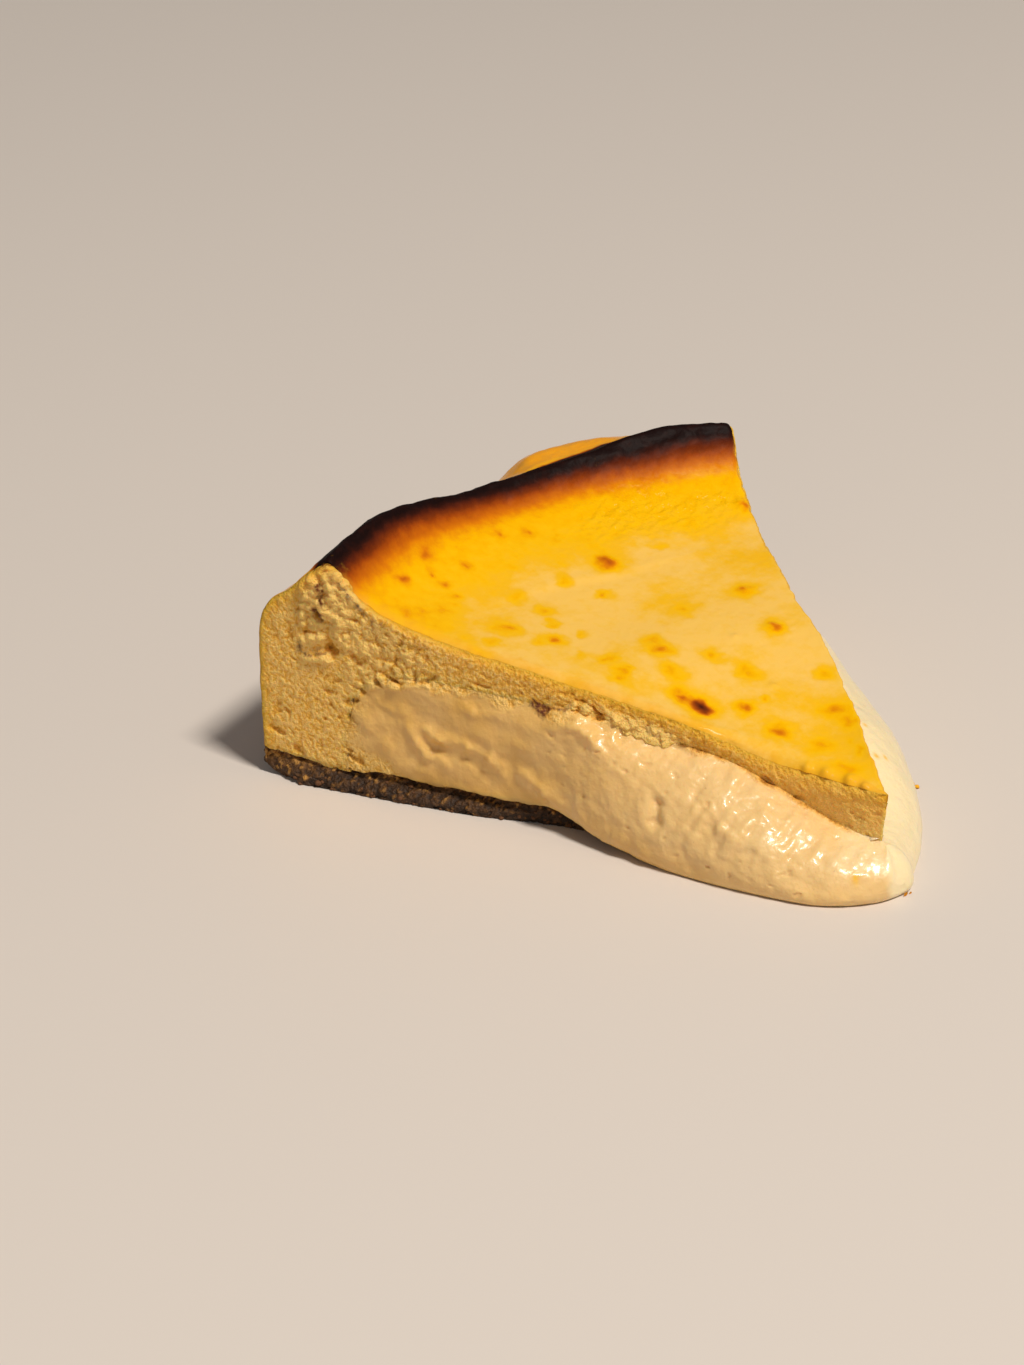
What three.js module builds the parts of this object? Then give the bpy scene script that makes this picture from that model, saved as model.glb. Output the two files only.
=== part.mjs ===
// A slice of baked cheesecake on a biscuit base, with a scorched rim and a molten centre that has
// run out of both cuts. Millimetres, +Z up. The tip points along -Y and the rim along +Y.
//
// A place in the slice is given by r, its distance from the tip, by the angle from +Y, which grows
// towards -X, and by z. The front cut is the one on the -X side, and the back cut the one on the +X side.
import * as THREE from "three";
import { mergeVertices } from "three/addons/utils/BufferGeometryUtils.js";

// Driving dimensions
const TIP_Y = -57.3; // where the tip stands, so that the origin is under the middle of the slice
const HALF_ANGLE = THREE.MathUtils.degToRad(28.1); // half of the slice's angle
const BASE_HEIGHT = 4.4; // thickness of the biscuit base
const BASE_RIM = { height: 5.8, from: 101, to: 117 }; // where it is pressed up thicker, by r
const BASE_RADIUS = 118.6;
const GAP = 0.3; // between pieces that touch
const MOLTEN_RADIUS = 101.2; // how far from the tip the centre stayed runny
const FLOOR = BASE_HEIGHT + GAP; // where the molten centre lies on the base
const ALONG = 56; // steps along the custard's section
const ROOF_SHARE = 46 / 56; // the share of them that lie over the molten centre

// The custard's outside, as [r, z]: the skin from the tip out to the crest, then down the tin's side.
const SKIN_LINE = [
  [0, 18],
  [8, 19],
  [22, 21.1],
  [34, 23.8],
  [50, 27.7],
  [66, 30.1],
  [82, 32.2],
  [93, 35.2],
  [100, 38.9],
  [103.2, 42.6],
  [105.4, 44.3],
  [108.3, 42.1],
  [113, 37.8],
  [117, 34.7],
  [118.9, 30],
  [119.2, 20],
  [119, 12],
  [118.8, BASE_RIM.height + GAP],
];
// The underside of the set custard over the molten centre, as [r, z].
const CEILING_LINE = [
  [0, 7],
  [10, 8.8],
  [20, 13.3],
  [30, 17],
  [42, 19.2],
  [52, 21.2],
  [62, 23.3],
  [74, 24.2],
  [86, 24.3],
  [95, 22.6],
  [100, 18.5],
  [MOLTEN_RADIUS, 14],
];

// How far the molten centre reaches out of each cut, as [r, distance].
const FRONT_REACH = [
  [0, 7.4],
  [4, 10],
  [10, 12],
  [20, 12],
  [30, 11],
  [41, 8.8],
  [50, 6.4],
  [58, 3.4],
  [66, 1.6],
  [80, 1],
  [MOLTEN_RADIUS, 0.6],
];
const BACK_REACH = [
  [0, 5.2],
  [3, 6.7],
  [8, 9],
  [14, 11.2],
  [22, 13],
  [31, 14.3],
  [42, 14.2],
  [52, 12.4],
  [62, 9.4],
  [72, 5.8],
  [82, 3],
  [91, 1.5],
  [MOLTEN_RADIUS, 0.6],
];
const NOSE_REACH = 4.7; // the same, straight ahead of the tip
// How high its lower edge hangs: on the plate near the tip, and up on the base further in.
const FRONT_FOOT = [
  [0, 0],
  [36, 0],
  [43, 0.8],
  [50, 2.2],
  [56, 3.6],
  [62, FLOOR],
  [MOLTEN_RADIUS, FLOOR],
];
const BACK_FOOT = [
  [0, 0],
  [62, 0],
  [71, 0.9],
  [79, 2.8],
  [87, FLOOR],
  [MOLTEN_RADIUS, FLOOR],
];

const CREST = { r: 105.4, width: 6 };
// How much higher than in SKIN_LINE the crest stands, as [angle in degrees, height].
const CREST_LIFT = [
  [-28.1, 0.9],
  [-22, 2],
  [-17, 1.4],
  [-12, -0.5],
  [-6, -1.3],
  [0, -1.7],
  [5, -1.3],
  [10, 0.1],
  [18.5, 1.4],
  [23, 0.9],
  [28.1, 0.7],
];
// The same for the shoulder, where the crest's outer slope meets the tin's side.
const SHOULDER = { from: 106, to: 114, swell: 0.45 }; // by r, and how far it moves out with the lift
const SHOULDER_LIFT = [
  [-28.1, 0],
  [-21, 1.8],
  [-17, 3.7],
  [-12, 4.3],
  [-8, 3.9],
  [-5, 1.2],
  [-2, 0],
  [8, 0],
  [18, -0.9],
  [24, -0.8],
  [28.1, 0],
];
const BACK_LIFT = 1.6; // how much higher the skin stands at the back cut near the tip
const BACK_SWELL = { out: 1.5, fadeIn: [8, 26], fadeOut: [38, 62] }; // where the back cut bulges, by r
const HOLLOW = { depth: 2.2, fadeIn: 15, fullTo: 42, fadeOut: 62 }; // how the cuts sink above the run-out
const TIP_HOLLOW = { depth: 1.2, to: 9 }; // how the tip's edge leans back below the skin
const POCKET = { r: 107.5, z: 24.5, depth: 3, radius: 3.4 }; // a torn pocket high in the front cut
const CRAG = { size: 4.2, height: 0.55 }; // the cut custard's coarse grain
const CRUMB = { size: 2.6, height: 1.1 }; // the base's crumbs

const { clamp, lerp, smoothstep } = THREE.MathUtils;

// A smooth curve through points, by cubic Hermite pieces whose slopes come from the neighbours.
// It returns the point at a share of the way from 0 to 1, by chord length.
function curveThrough(points) {
  const along = [0];
  for (let i = 1; i < points.length; i++) {
    along.push(along[i - 1] + Math.hypot(points[i][0] - points[i - 1][0], points[i][1] - points[i - 1][1]));
  }
  const total = along.at(-1);
  const slopes = slopesOf(along, points);
  return (share) => hermite(along, points, slopes, clamp(share, 0, 1) * total);
}

// The height over r of a line of [r, height] points, by the same cubic pieces.
function heightOver(line) {
  const at = line.map((p) => p[0]);
  const values = line.map((p) => [p[1]]);
  const slopes = slopesOf(at, values);
  return (r) => hermite(at, values, slopes, clamp(r, at[0], at.at(-1)))[0];
}

function slopesOf(at, values) {
  const last = at.length - 1;
  return values.map((_, i) => {
    const before = Math.max(i - 1, 0);
    const after = Math.min(i + 1, last);
    return values[i].map((_, k) => (values[after][k] - values[before][k]) / (at[after] - at[before]));
  });
}

function hermite(at, values, slopes, x) {
  let i = 0;
  while (i < at.length - 2 && x > at[i + 1]) i++;
  const step = at[i + 1] - at[i];
  const t = (x - at[i]) / step;
  const t2 = t * t;
  const t3 = t2 * t;
  return values[i].map(
    (_, k) =>
      (2 * t3 - 3 * t2 + 1) * values[i][k] +
      (t3 - 2 * t2 + t) * step * slopes[i][k] +
      (3 * t2 - 2 * t3) * values[i + 1][k] +
      (t3 - t2) * step * slopes[i + 1][k],
  );
}

// Smooth noise from -1 to 1: random values at whole numbers, blended between them.
function latticeValue(i, j, k) {
  let h = Math.imul(i, 374761393) + Math.imul(j, 668265263) + Math.imul(k, 2147483647);
  h = Math.imul(h ^ (h >>> 13), 1274126177);
  return (((h ^ (h >>> 16)) >>> 0) / 4294967295) * 2 - 1;
}

function noise(x, y, z) {
  const [i, j, k] = [Math.floor(x), Math.floor(y), Math.floor(z)];
  const [u, v, w] = [smoothstep(x - i, 0, 1), smoothstep(y - j, 0, 1), smoothstep(z - k, 0, 1)];
  const row = (dj, dk) => lerp(latticeValue(i, j + dj, k + dk), latticeValue(i + 1, j + dj, k + dk), u);
  return lerp(lerp(row(0, 0), row(1, 0), v), lerp(row(0, 1), row(1, 1), v), w);
}

const place = (r, angle, z) => [-r * Math.sin(angle), r * Math.cos(angle), z];
const outward = (angle) => [-Math.cos(angle), -Math.sin(angle)]; // straight out of a cut at that angle
const moved = (point, direction, distance) => [
  point[0] + direction[0] * distance,
  point[1] + direction[1] * distance,
  point[2],
];
const FRONT_OUT = outward(HALF_ANGLE);
const BACK_OUT = [-FRONT_OUT[0], FRONT_OUT[1]];

// Gathers triangles, in order round each face as seen from outside, into one closed geometry.
class Shell {
  corners = [];

  triangle(a, b, c) {
    this.corners.push(...a, ...b, ...c);
  }

  // Faces between the rows of a grid. Columns run to the right and rows upwards, seen from outside.
  grid(rows) {
    for (let i = 1; i < rows.length; i++) {
      for (let j = 1; j < rows[i].length; j++) {
        const [a, b] = [rows[i - 1][j - 1], rows[i - 1][j]];
        const [d, c] = [rows[i][j - 1], rows[i][j]];
        this.triangle(a, b, c);
        this.triangle(a, c, d);
      }
    }
  }

  // Faces from a point to a row that runs to the left, seen from outside with the point below.
  fan(point, row) {
    for (let j = 1; j < row.length; j++) this.triangle(point, row[j], row[j - 1]);
  }

  geometry() {
    const loose = new THREE.BufferGeometry();
    loose.setAttribute("position", new THREE.Float32BufferAttribute(this.corners, 3));
    const merged = mergeVertices(loose, 1e-3);
    const index = merged.index.array;
    const kept = [];
    for (let i = 0; i < index.length; i += 3) {
      const [a, b, c] = [index[i], index[i + 1], index[i + 2]];
      if (a !== b && b !== c && c !== a) kept.push(a, b, c);
    }
    merged.setIndex(kept);
    merged.computeVertexNormals();
    return merged;
  }
}

const steps = (count, make) => Array.from({ length: count + 1 }, (_, i) => make(i / count));

const skin = curveThrough(SKIN_LINE);
const ceiling = heightOver(CEILING_LINE);
const crestLift = heightOver(CREST_LIFT);
const shoulderLift = heightOver(SHOULDER_LIFT);
const frontReach = heightOver(FRONT_REACH);
const backReach = heightOver(BACK_REACH);
const frontFoot = heightOver(FRONT_FOOT);
const backFoot = heightOver(BACK_FOOT);

// How far a cut sinks behind its plane at the custard's lower edge.
function hollowAt(r) {
  return HOLLOW.depth * smoothstep(r, 0, HOLLOW.fadeIn) * (1 - smoothstep(r, HOLLOW.fullTo, HOLLOW.fadeOut));
}

// How far a point at the lower edge of the cuts stands back towards the rim at the slice's tip.
function tipHollowAt(r) {
  return TIP_HOLLOW.depth * (1 - smoothstep(r, 0, TIP_HOLLOW.to));
}

// The height of the base's upper face, over r.
const baseTop = (r) => lerp(BASE_HEIGHT, BASE_RIM.height, smoothstep(r, BASE_RIM.from, BASE_RIM.to));

// The custard's outside at a share of the way from the tip to the base: the crest and the shoulder
// rise and fall along the rim, the skin waves a little, and it stands higher at the back cut.
function custardSkin(share, angle) {
  const [r, z] = skin(share);
  const degrees = THREE.MathUtils.radToDeg(angle);
  const crest = crestLift(degrees) * Math.exp(-(((r - CREST.r) / CREST.width) ** 2));
  const shoulder = shoulderLift(degrees) * smoothstep(r, SHOULDER.from, SHOULDER.to) * smoothstep(z, 16, 33);
  const wave = 0.5 * noise(r / 17, angle * 4, 1) * smoothstep(r, 6, 30) * smoothstep(z, 14, 22);
  const toBack = (HALF_ANGLE - angle) / (2 * HALF_ANGLE);
  const lift = BACK_LIFT * toBack ** 2 * smoothstep(r, 0, 10) * (1 - smoothstep(r, 40, 70));
  return [r + SHOULDER.swell * Math.max(shoulder, 0), z + crest + shoulder + wave + lift];
}

// The roof over the molten centre at a share of the way from the tip to its rim, as [r, z]. The
// custard and the molten centre both use it, so that their edges run side by side.
function roof(share) {
  const r = MOLTEN_RADIUS * share * (1.4 - 0.4 * share);
  return [r, ceiling(r)];
}

// The custard's inside: along the roof, then down the wall round the molten centre.
function custardInside(share) {
  const [r, z] = roof(Math.min(share / ROOF_SHARE, 1));
  const down = Math.max(0, share - ROOF_SHARE) / (1 - ROOF_SHARE);
  return [r * (1 + (2 * GAP) / MOLTEN_RADIUS), lerp(z + GAP, FLOOR, down)];
}

// How far a point of a cut lies behind the cut's plane: v is 0 at the custard's inside and 1 at its skin.
function cutDepth(s, v, r, z, front) {
  const withinEdges = Math.sin(Math.PI * v) * smoothstep(s, 0, 0.1) * (1 - smoothstep(s, 0.97, 1));
  const grain = CRAG.height * (noise(r / CRAG.size, z / CRAG.size, front ? 7 : 13) + 0.4);
  const toPocket = Math.hypot(r - POCKET.r, z - POCKET.z) / POCKET.radius;
  const pocket = POCKET.depth * Math.exp(-(toPocket ** 4));
  const swell = BACK_SWELL.out * smoothstep(r, ...BACK_SWELL.fadeIn) * (1 - smoothstep(r, ...BACK_SWELL.fadeOut));
  const own = front ? withinEdges * pocket : -swell * v;
  return hollowAt(r) * (1 - v) + withinEdges * grain + own;
}

// The baked custard: a block bent into the slice's section. s runs along it from the tip, over the
// crest and down to the base, v from its inside to its outside, and t from the front cut to the back.
function bakedCustard() {
  const counts = [ALONG, 6, 16];
  return boxShell(counts, (s, v, t) => {
    const angle = lerp(HALF_ANGLE, -HALF_ANGLE, t);
    const [r0, z0] = custardInside(s);
    const [r1, z1] = custardSkin(s, angle);
    const r = lerp(r0, r1, v);
    const z = s < 1 ? lerp(z0, z1, v) : baseTop(r) + GAP;
    const point = moved(place(r, angle, z), [0, 1], tipHollowAt(r) * (1 - v));
    if (t > 0 && t < 1) return point;
    return moved(point, t === 0 ? FRONT_OUT : BACK_OUT, -cutDepth(s, v, r, z, t === 0));
  });
}

// The six sides of a block whose points come from shares along its three right-handed directions.
function boxShell([ns, nv, nt], point) {
  const shell = new Shell();
  const side = (rows, columns, at) => shell.grid(steps(rows, (w) => steps(columns, (u) => at(u, w))));
  side(ns, nt, (t, s) => point(s, 1, t));
  side(nt, ns, (s, t) => point(s, 0, t));
  side(nv, ns, (s, v) => point(s, v, 1));
  side(ns, nv, (v, s) => point(s, v, 0));
  side(nt, nv, (v, t) => point(1, v, t));
  side(nv, nt, (t, v) => point(0, v, t));
  return shell.geometry();
}

// The way round a piece in plan, from the rim end of the front cut to the tip, round it, and back
// along the back cut and the rim. Each stop has the point on the cut, the way out, and its r.
function wayRound(radiusAt, cutSteps, noseSteps, rimSteps) {
  const radius = radiusAt(1);
  const inward = steps(cutSteps, (u) => radiusAt(1 - u)).slice(0, -1);
  const front = inward.map((r) => ({ side: "front", r, point: place(r, HALF_ANGLE, 0), out: FRONT_OUT }));
  const nose = steps(noseSteps, (share) => {
    const turn = lerp(Math.PI + HALF_ANGLE, 2 * Math.PI - HALF_ANGLE, share);
    return { side: "nose", r: 0, share, point: [0, 0, 0], out: [Math.cos(turn), Math.sin(turn)] };
  });
  const back = inward.reverse().map((r) => ({ side: "back", r, point: place(r, -HALF_ANGLE, 0), out: BACK_OUT }));
  const rim = steps(rimSteps, (share) => {
    const angle = lerp(-HALF_ANGLE, HALF_ANGLE, share);
    return { side: "rim", r: radius, point: place(radius, angle, 0), out: [-Math.sin(angle), Math.cos(angle)] };
  });
  return [...front, ...nose, ...back, ...rim.slice(1, -1)];
}

// What the run-out does at a stop: how far it starts behind the cut and reaches out of it, the
// heights of its upper edge and its foot, and how far its upper edge leans back at the tip.
function runOutAt(stop) {
  const start = -hollowAt(stop.r);
  const top = ceiling(stop.r);
  const lean = tipHollowAt(stop.r);
  if (stop.side === "rim") return { start: 0, reach: 0, top, foot: FLOOR, lean: 0 };
  if (stop.side === "nose") {
    const cuts = lerp(frontReach(0), backReach(0), stop.share);
    return { start, reach: lerp(cuts, NOSE_REACH, Math.sin(Math.PI * stop.share)), top, foot: 0, lean };
  }
  const [reach, foot] = stop.side === "front" ? [frontReach, frontFoot] : [backReach, backFoot];
  return { start, reach: reach(stop.r), top, foot: clamp(foot(stop.r), 0, FLOOR), lean };
}

// The molten centre: at each stop of the way round, a line runs from the middle of the ceiling to
// its edge, down the run-out's swollen side to its foot, in under it to the base, and up onto it.
function moltenCentre() {
  const middle = 60; // y of the middle of the ceiling and the floor
  const lowering = 0.8; // the hidden ceiling stays this far under the custard
  const sideSteps = 9;
  const lines = wayRound((share) => roof(share)[0], ROOF_SHARE * ALONG, 10, 12).map((stop) => {
    const { start, reach, top, foot, lean } = runOutAt(stop);
    const waist = foot + 0.2 * (top - foot); // the height where it is widest
    const curl = Math.min(1.4, 0.25 * reach);
    const at = (distance, z, leaning = 0) => {
      return moved([stop.point[0], stop.point[1] + lean * leaning, z], stop.out, distance);
    };
    const edge = at(start, top, 1);
    const inside = (part) => [edge[0] * part, lerp(middle, edge[1], part)];
    const overhead = [0.3, 0.65, 0.9].map((part) => {
      const [x, y] = inside(part);
      const over = ceiling(Math.hypot(x, y));
      return [x, y, over - Math.min(lowering, 0.4 * (over - FLOOR))];
    });
    const side = steps(sideSteps, (w) => {
      const turn = (w * Math.PI) / 2;
      const ripple = noise(stop.r / 9, w * 2, stop.side === "back" ? 3 : 5) * Math.sin(Math.PI * w);
      const distance = lerp(start, reach, Math.sin(turn)) + 0.35 * ripple * Math.min(reach, 1);
      return at(distance, lerp(waist, top, Math.cos(turn) ** 1.1), 1 - w);
    });
    const overBase = foot > FLOOR - 0.05;
    const under = overBase
      ? [at(reach - curl, foot), at(start - 0.6, foot), at(start - 1.2, foot)]
      : [at(reach - curl, foot), at(0.5, foot), at(0.5, FLOOR)];
    return [...overhead, ...side, ...under, [...inside(0.9), FLOOR], [...inside(0.6), FLOOR]];
  });
  lines.push(lines[0]);
  return closedRound(lines, [0, middle, ceiling(middle) - lowering], [0, middle, FLOOR]);
}

// Closes a piece whose lines run from a top point to a bottom point, all the way round.
function closedRound(lines, top, bottom) {
  const shell = new Shell();
  shell.grid(lines[0].map((_, i) => lines.map((line) => line[lines[0].length - 1 - i])));
  shell.fan(top, lines.map((line) => line[0]).reverse());
  shell.fan(bottom, lines.map((line) => line.at(-1)));
  return shell.geometry();
}

// The biscuit base: a flat slab, thicker under the rim, whose cut sides and outer side are rough
// with crumbs, and whose lower outer edge is rounded off.
function biscuitBase() {
  const middle = 70; // y of the middle of its two faces
  const rounding = 4;
  const sideSteps = 4;
  const stops = wayRound((share) => BASE_RADIUS * share, 60, 1, 54);
  const lines = stops.map((stop) => {
    const rim = stop.side === "rim";
    const bare = rim ? 1 : smoothstep(stop.r, 40, 58);
    const height = baseTop(stop.r);
    const nearRim = rim ? 1 : smoothstep(stop.r, BASE_RADIUS - 12, BASE_RADIUS);
    const side = steps(sideSteps, (w) => {
      const grain = (noise(stop.point[0] / CRUMB.size, stop.point[1] / CRUMB.size, w * 3) + 1) / 2;
      const rough = bare * CRUMB.height * grain * (0.45 + 0.55 * w);
      const round = rounding * nearRim * (2 * Math.max(0, w - 0.5)) ** 2;
      const [x, y] = moved(stop.point, stop.out, -rough);
      return [x * (1 - round / BASE_RADIUS), y * (1 - round / BASE_RADIUS), height * (1 - w)];
    });
    const inset = (point, part, z) => [point[0] * part, lerp(middle, point[1], part), z];
    const faceAt = (part) => {
      const [x, y] = inset(side[0], part, 0);
      return [x, y, baseTop(Math.hypot(x, y))];
    };
    return [faceAt(0.45), faceAt(0.66), faceAt(0.84), ...side, inset(side.at(-1), 0.6, 0)];
  });
  lines.push(lines[0]);
  return closedRound(lines, [0, middle, BASE_HEIGHT], [0, middle, 0]);
}

function piece(name, geometry, color, roughness) {
  const mesh = new THREE.Mesh(geometry, new THREE.MeshStandardMaterial({ color, roughness, metalness: 0 }));
  mesh.name = name;
  return mesh;
}

const slice = new THREE.Group();
slice.position.y = TIP_Y;
slice.add(
  piece("biscuit_base", biscuitBase(), 0x5f3c1c, 0.9),
  piece("molten_centre", moltenCentre(), 0xf3d59a, 0.25),
  piece("baked_custard", bakedCustard(), 0xf0bc4c, 0.5),
);

export default slice;
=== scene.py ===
"""A slice of baked cheesecake with a scorched rim and a molten centre, on a biscuit base.

Places in the slice are worked out in millimetres from the foot of its tip: r is the distance from
the tip in plan, the angle is counted from +Y and grows towards -X, and z is the height. The front
cut is the one on the -X side, and the back cut the one on the +X side.
"""

import bmesh
import bpy
import numpy as np
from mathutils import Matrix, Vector


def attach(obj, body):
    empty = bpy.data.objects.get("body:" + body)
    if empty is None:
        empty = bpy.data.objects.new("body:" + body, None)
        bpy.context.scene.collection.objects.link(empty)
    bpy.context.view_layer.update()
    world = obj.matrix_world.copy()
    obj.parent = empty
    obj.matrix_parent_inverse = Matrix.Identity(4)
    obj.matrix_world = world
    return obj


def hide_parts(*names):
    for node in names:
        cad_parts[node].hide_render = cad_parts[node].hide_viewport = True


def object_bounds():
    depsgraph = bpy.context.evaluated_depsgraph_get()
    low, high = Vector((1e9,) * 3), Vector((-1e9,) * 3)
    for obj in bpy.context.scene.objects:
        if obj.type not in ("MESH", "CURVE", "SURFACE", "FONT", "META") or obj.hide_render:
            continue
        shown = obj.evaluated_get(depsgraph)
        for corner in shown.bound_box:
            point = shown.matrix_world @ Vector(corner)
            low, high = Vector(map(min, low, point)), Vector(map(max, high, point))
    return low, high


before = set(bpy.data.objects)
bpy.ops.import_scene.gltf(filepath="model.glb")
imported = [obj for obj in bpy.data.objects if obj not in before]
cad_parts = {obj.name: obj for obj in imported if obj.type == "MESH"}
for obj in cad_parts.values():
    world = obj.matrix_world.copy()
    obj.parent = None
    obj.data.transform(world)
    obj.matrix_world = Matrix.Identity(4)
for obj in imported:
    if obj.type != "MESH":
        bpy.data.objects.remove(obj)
cad_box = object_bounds()

MM = 0.001
TIP_Y = -57.3
HALF_ANGLE = np.radians(28.1)
BASE_HEIGHT = 4.4
BASE_RIM = {"height": 5.8, "start": 101, "end": 117}
BASE_RADIUS = 118.6
MOLTEN_RADIUS = 101.2
MOLTEN_RIM = 104.5  # how far the run-out is carried on under the face of the custard
FLOOR = 4.7
ROOF_SHARE = 46 / 56
SUNK = 0.3  # how far pieces that touch are let into each other, so that no gap shows

# The custard's outside, as [r, z]: the skin from the tip out to the crest, then down the tin's side.
SKIN_LINE = [
    [0, 18], [8, 19], [22, 21.1], [34, 23.8], [50, 27.7], [66, 30.1], [82, 32.2], [93, 35.2],
    [100, 38.9], [103.2, 42.6], [105.4, 44.3], [108.3, 42.1], [113, 37.8], [117, 34.7],
    [118.9, 30], [119.2, 20], [119, 12], [118.8, 6.1],
]
# The underside of the set custard over the molten centre, as [r, z].
CEILING_LINE = [
    [0, 7], [10, 8.8], [20, 13.3], [30, 17], [42, 19.2], [52, 21.2], [62, 23.3], [74, 24.2],
    [86, 24.3], [95, 22.6], [100, 18.5], [101.2, 14],
]
# How far the molten centre reaches out of each cut, as [r, distance].
FRONT_REACH = [
    [0, 7.4], [4, 10], [10, 12], [20, 12], [30, 11], [41, 8.8], [50, 6.4], [58, 3.4], [66, 1.6],
    [80, 1], [101.2, 0.6],
]
BACK_REACH = [
    [0, 5.2], [3, 6.7], [8, 9], [14, 11.2], [22, 13], [31, 14.3], [42, 14.2], [52, 12.4],
    [62, 9.4], [72, 5.8], [82, 3], [91, 1.5], [101.2, 0.6],
]
NOSE_REACH = 4.7
# How high the lower edge of the run-out hangs, as [r, z].
FRONT_FOOT = [[0, 0], [36, 0], [43, 0.8], [50, 2.2], [56, 3.6], [62, 4.7], [101.2, 4.7]]
BACK_FOOT = [[0, 0], [62, 0], [71, 0.9], [79, 2.8], [87, 4.7], [101.2, 4.7]]
CREST = {"r": 105.4, "width": 6}
# How much higher than in SKIN_LINE the crest and the shoulder stand, as [angle in degrees, height].
CREST_LIFT = [
    [-28.1, 0.9], [-22, 2], [-17, 1.4], [-12, -0.5], [-6, -1.3], [0, -1.7], [5, -1.3], [10, 0.1],
    [18.5, 1.4], [23, 0.9], [28.1, 0.7],
]
SHOULDER_LIFT = [
    [-28.1, 0], [-21, 1.8], [-17, 3.7], [-12, 4.3], [-8, 3.9], [-5, 1.2], [-2, 0], [8, 0],
    [18, -0.9], [24, -0.8], [28.1, 0],
]
BACK_LIFT = 1.6
BACK_SWELL = {"out": 1.5, "fade_in": (8, 26), "fade_out": (38, 62)}
HOLLOW = {"depth": 2.2, "fade_in": 15, "full_to": 42, "fade_out": 62}
TIP_HOLLOW = {"depth": 1.2, "to": 9}

# Steps of the fine surfaces, about 0.4 mm apart where a cut shows its grain
CUSTARD_STEPS = {"along": 440, "through": 80, "across": 36, "inside": 6}
SKIN_STEPS = {"along": 420, "across": 190, "under": 16}
MOLTEN_STEPS = {"cut": 300, "nose": 70, "rim": 24, "side": 84, "curl": 10}
BASE_STEPS = {"cut": 460, "rim": 300, "side": 26}

FRONT, NOSE, BACK, RIM = range(4)


def mix(a, b, share):
    """The value that lies a share of the way from a to b."""
    return a + (b - a) * share


def smoothstep(x, low, high):
    """0 below low, 1 above high, and between them the cubic 3t^2 - 2t^3."""
    t = np.clip((x - low) / (high - low), 0, 1)
    return t * t * (3 - 2 * t)


def hump(x, centre, width):
    """A bell of height 1 at centre: exp(-((x - centre) / width)^2)."""
    return np.exp(-(((x - centre) / width) ** 2))


def hermite(at, values, x):
    """Cubic Hermite pieces through values given at places, with slopes taken from the neighbours."""
    last = len(at) - 1
    before = np.maximum(np.arange(last + 1) - 1, 0)
    after = np.minimum(np.arange(last + 1) + 1, last)
    slopes = (values[after] - values[before]) / (at[after] - at[before])[:, None]
    i = np.clip(np.searchsorted(at, x, side="left") - 1, 0, last - 1)
    step = (at[i + 1] - at[i])[..., None]
    t = (x - at[i])[..., None] / step
    return (
        (2 * t**3 - 3 * t**2 + 1) * values[i]
        + (t**3 - 2 * t**2 + t) * step * slopes[i]
        + (3 * t**2 - 2 * t**3) * values[i + 1]
        + (t**3 - t**2) * step * slopes[i + 1]
    )


def curve_through(points):
    """The smooth curve through points, as a function of the share of its chord length."""
    values = np.array(points, float)
    along = np.concatenate([[0], np.cumsum(np.hypot(*np.diff(values, axis=0).T))])
    return lambda share: hermite(along, values, np.clip(share, 0, 1) * along[-1])


def height_over(line):
    """The smooth height over r of a line of [r, height] points, level beyond its ends."""
    at, values = np.array(line, float).T
    return lambda r: hermite(at, values[:, None], np.clip(r, at[0], at[-1]))[..., 0]


skin_curve = curve_through(SKIN_LINE)
ceiling = height_over(CEILING_LINE)
crest_lift = height_over(CREST_LIFT)
shoulder_lift = height_over(SHOULDER_LIFT)
front_reach = height_over(FRONT_REACH)
back_reach = height_over(BACK_REACH)
front_foot = height_over(FRONT_FOOT)
back_foot = height_over(BACK_FOOT)


# Noise

# A turn that keeps the noise's grid away from the slice's own directions
TURN = np.array([[0.36, 0.48, -0.8], [-0.8, 0.6, 0.0], [0.48, 0.64, 0.6]])
# Large odd numbers that mix a place's three coordinates and a salt into one number
MIXERS = np.array([374761393, 668265263, 2147483647, 1274126177], np.uint32)
CORNERS = np.stack(np.meshgrid([0, 1], [0, 1], [0, 1], indexing="ij"), -1).reshape(-1, 3)
NEIGHBOURS = np.stack(np.meshgrid(*[[-1, 0, 1]] * 3, indexing="ij"), -1).reshape(-1, 3)


def scattered(cell, salt=0):
    """A fixed number from 0 to 1 for each whole-number place, mixed from its three coordinates in
    32 bits, where sums and products wrap round."""
    i, j, k = (cell[..., n].astype(np.int64).astype(np.uint32) for n in range(3))
    with np.errstate(over="ignore"):
        mixed = i * MIXERS[0] + j * MIXERS[1] + (k + np.uint32(salt)) * MIXERS[2]
        mixed = (mixed ^ (mixed >> np.uint32(13))) * MIXERS[3]
    return (mixed ^ (mixed >> np.uint32(16))) / (2**32 - 1)


def noise(places, salt=0):
    """Smooth noise from -1 to 1: random values at whole numbers, blended between them."""
    low = np.floor(places).astype(np.int64)
    part = places - low
    blend = part * part * (3 - 2 * part)
    total = 0
    for corner in CORNERS:
        weight = np.prod(np.where(corner, blend, 1 - blend), axis=-1)
        total = total + weight * scattered(low + corner, salt)
    return total * 2 - 1


def layered(places, size, layers=3, salt=0):
    """Noise whose largest waves are size long, with layers of half the size and half the height."""
    turned = places @ TURN.T / size
    return sum(noise(turned * 2**n + 7.3 * n, salt + 11 * n) / 2**n for n in range(layers)) / 1.6


def billow(places, size, salt=0):
    """Round lumps that meet in creases, of that size and from -1 to 1: 1 - 2 |noise|."""
    return 1 - 2 * np.abs(noise(places @ TURN.T / size, salt))


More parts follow.
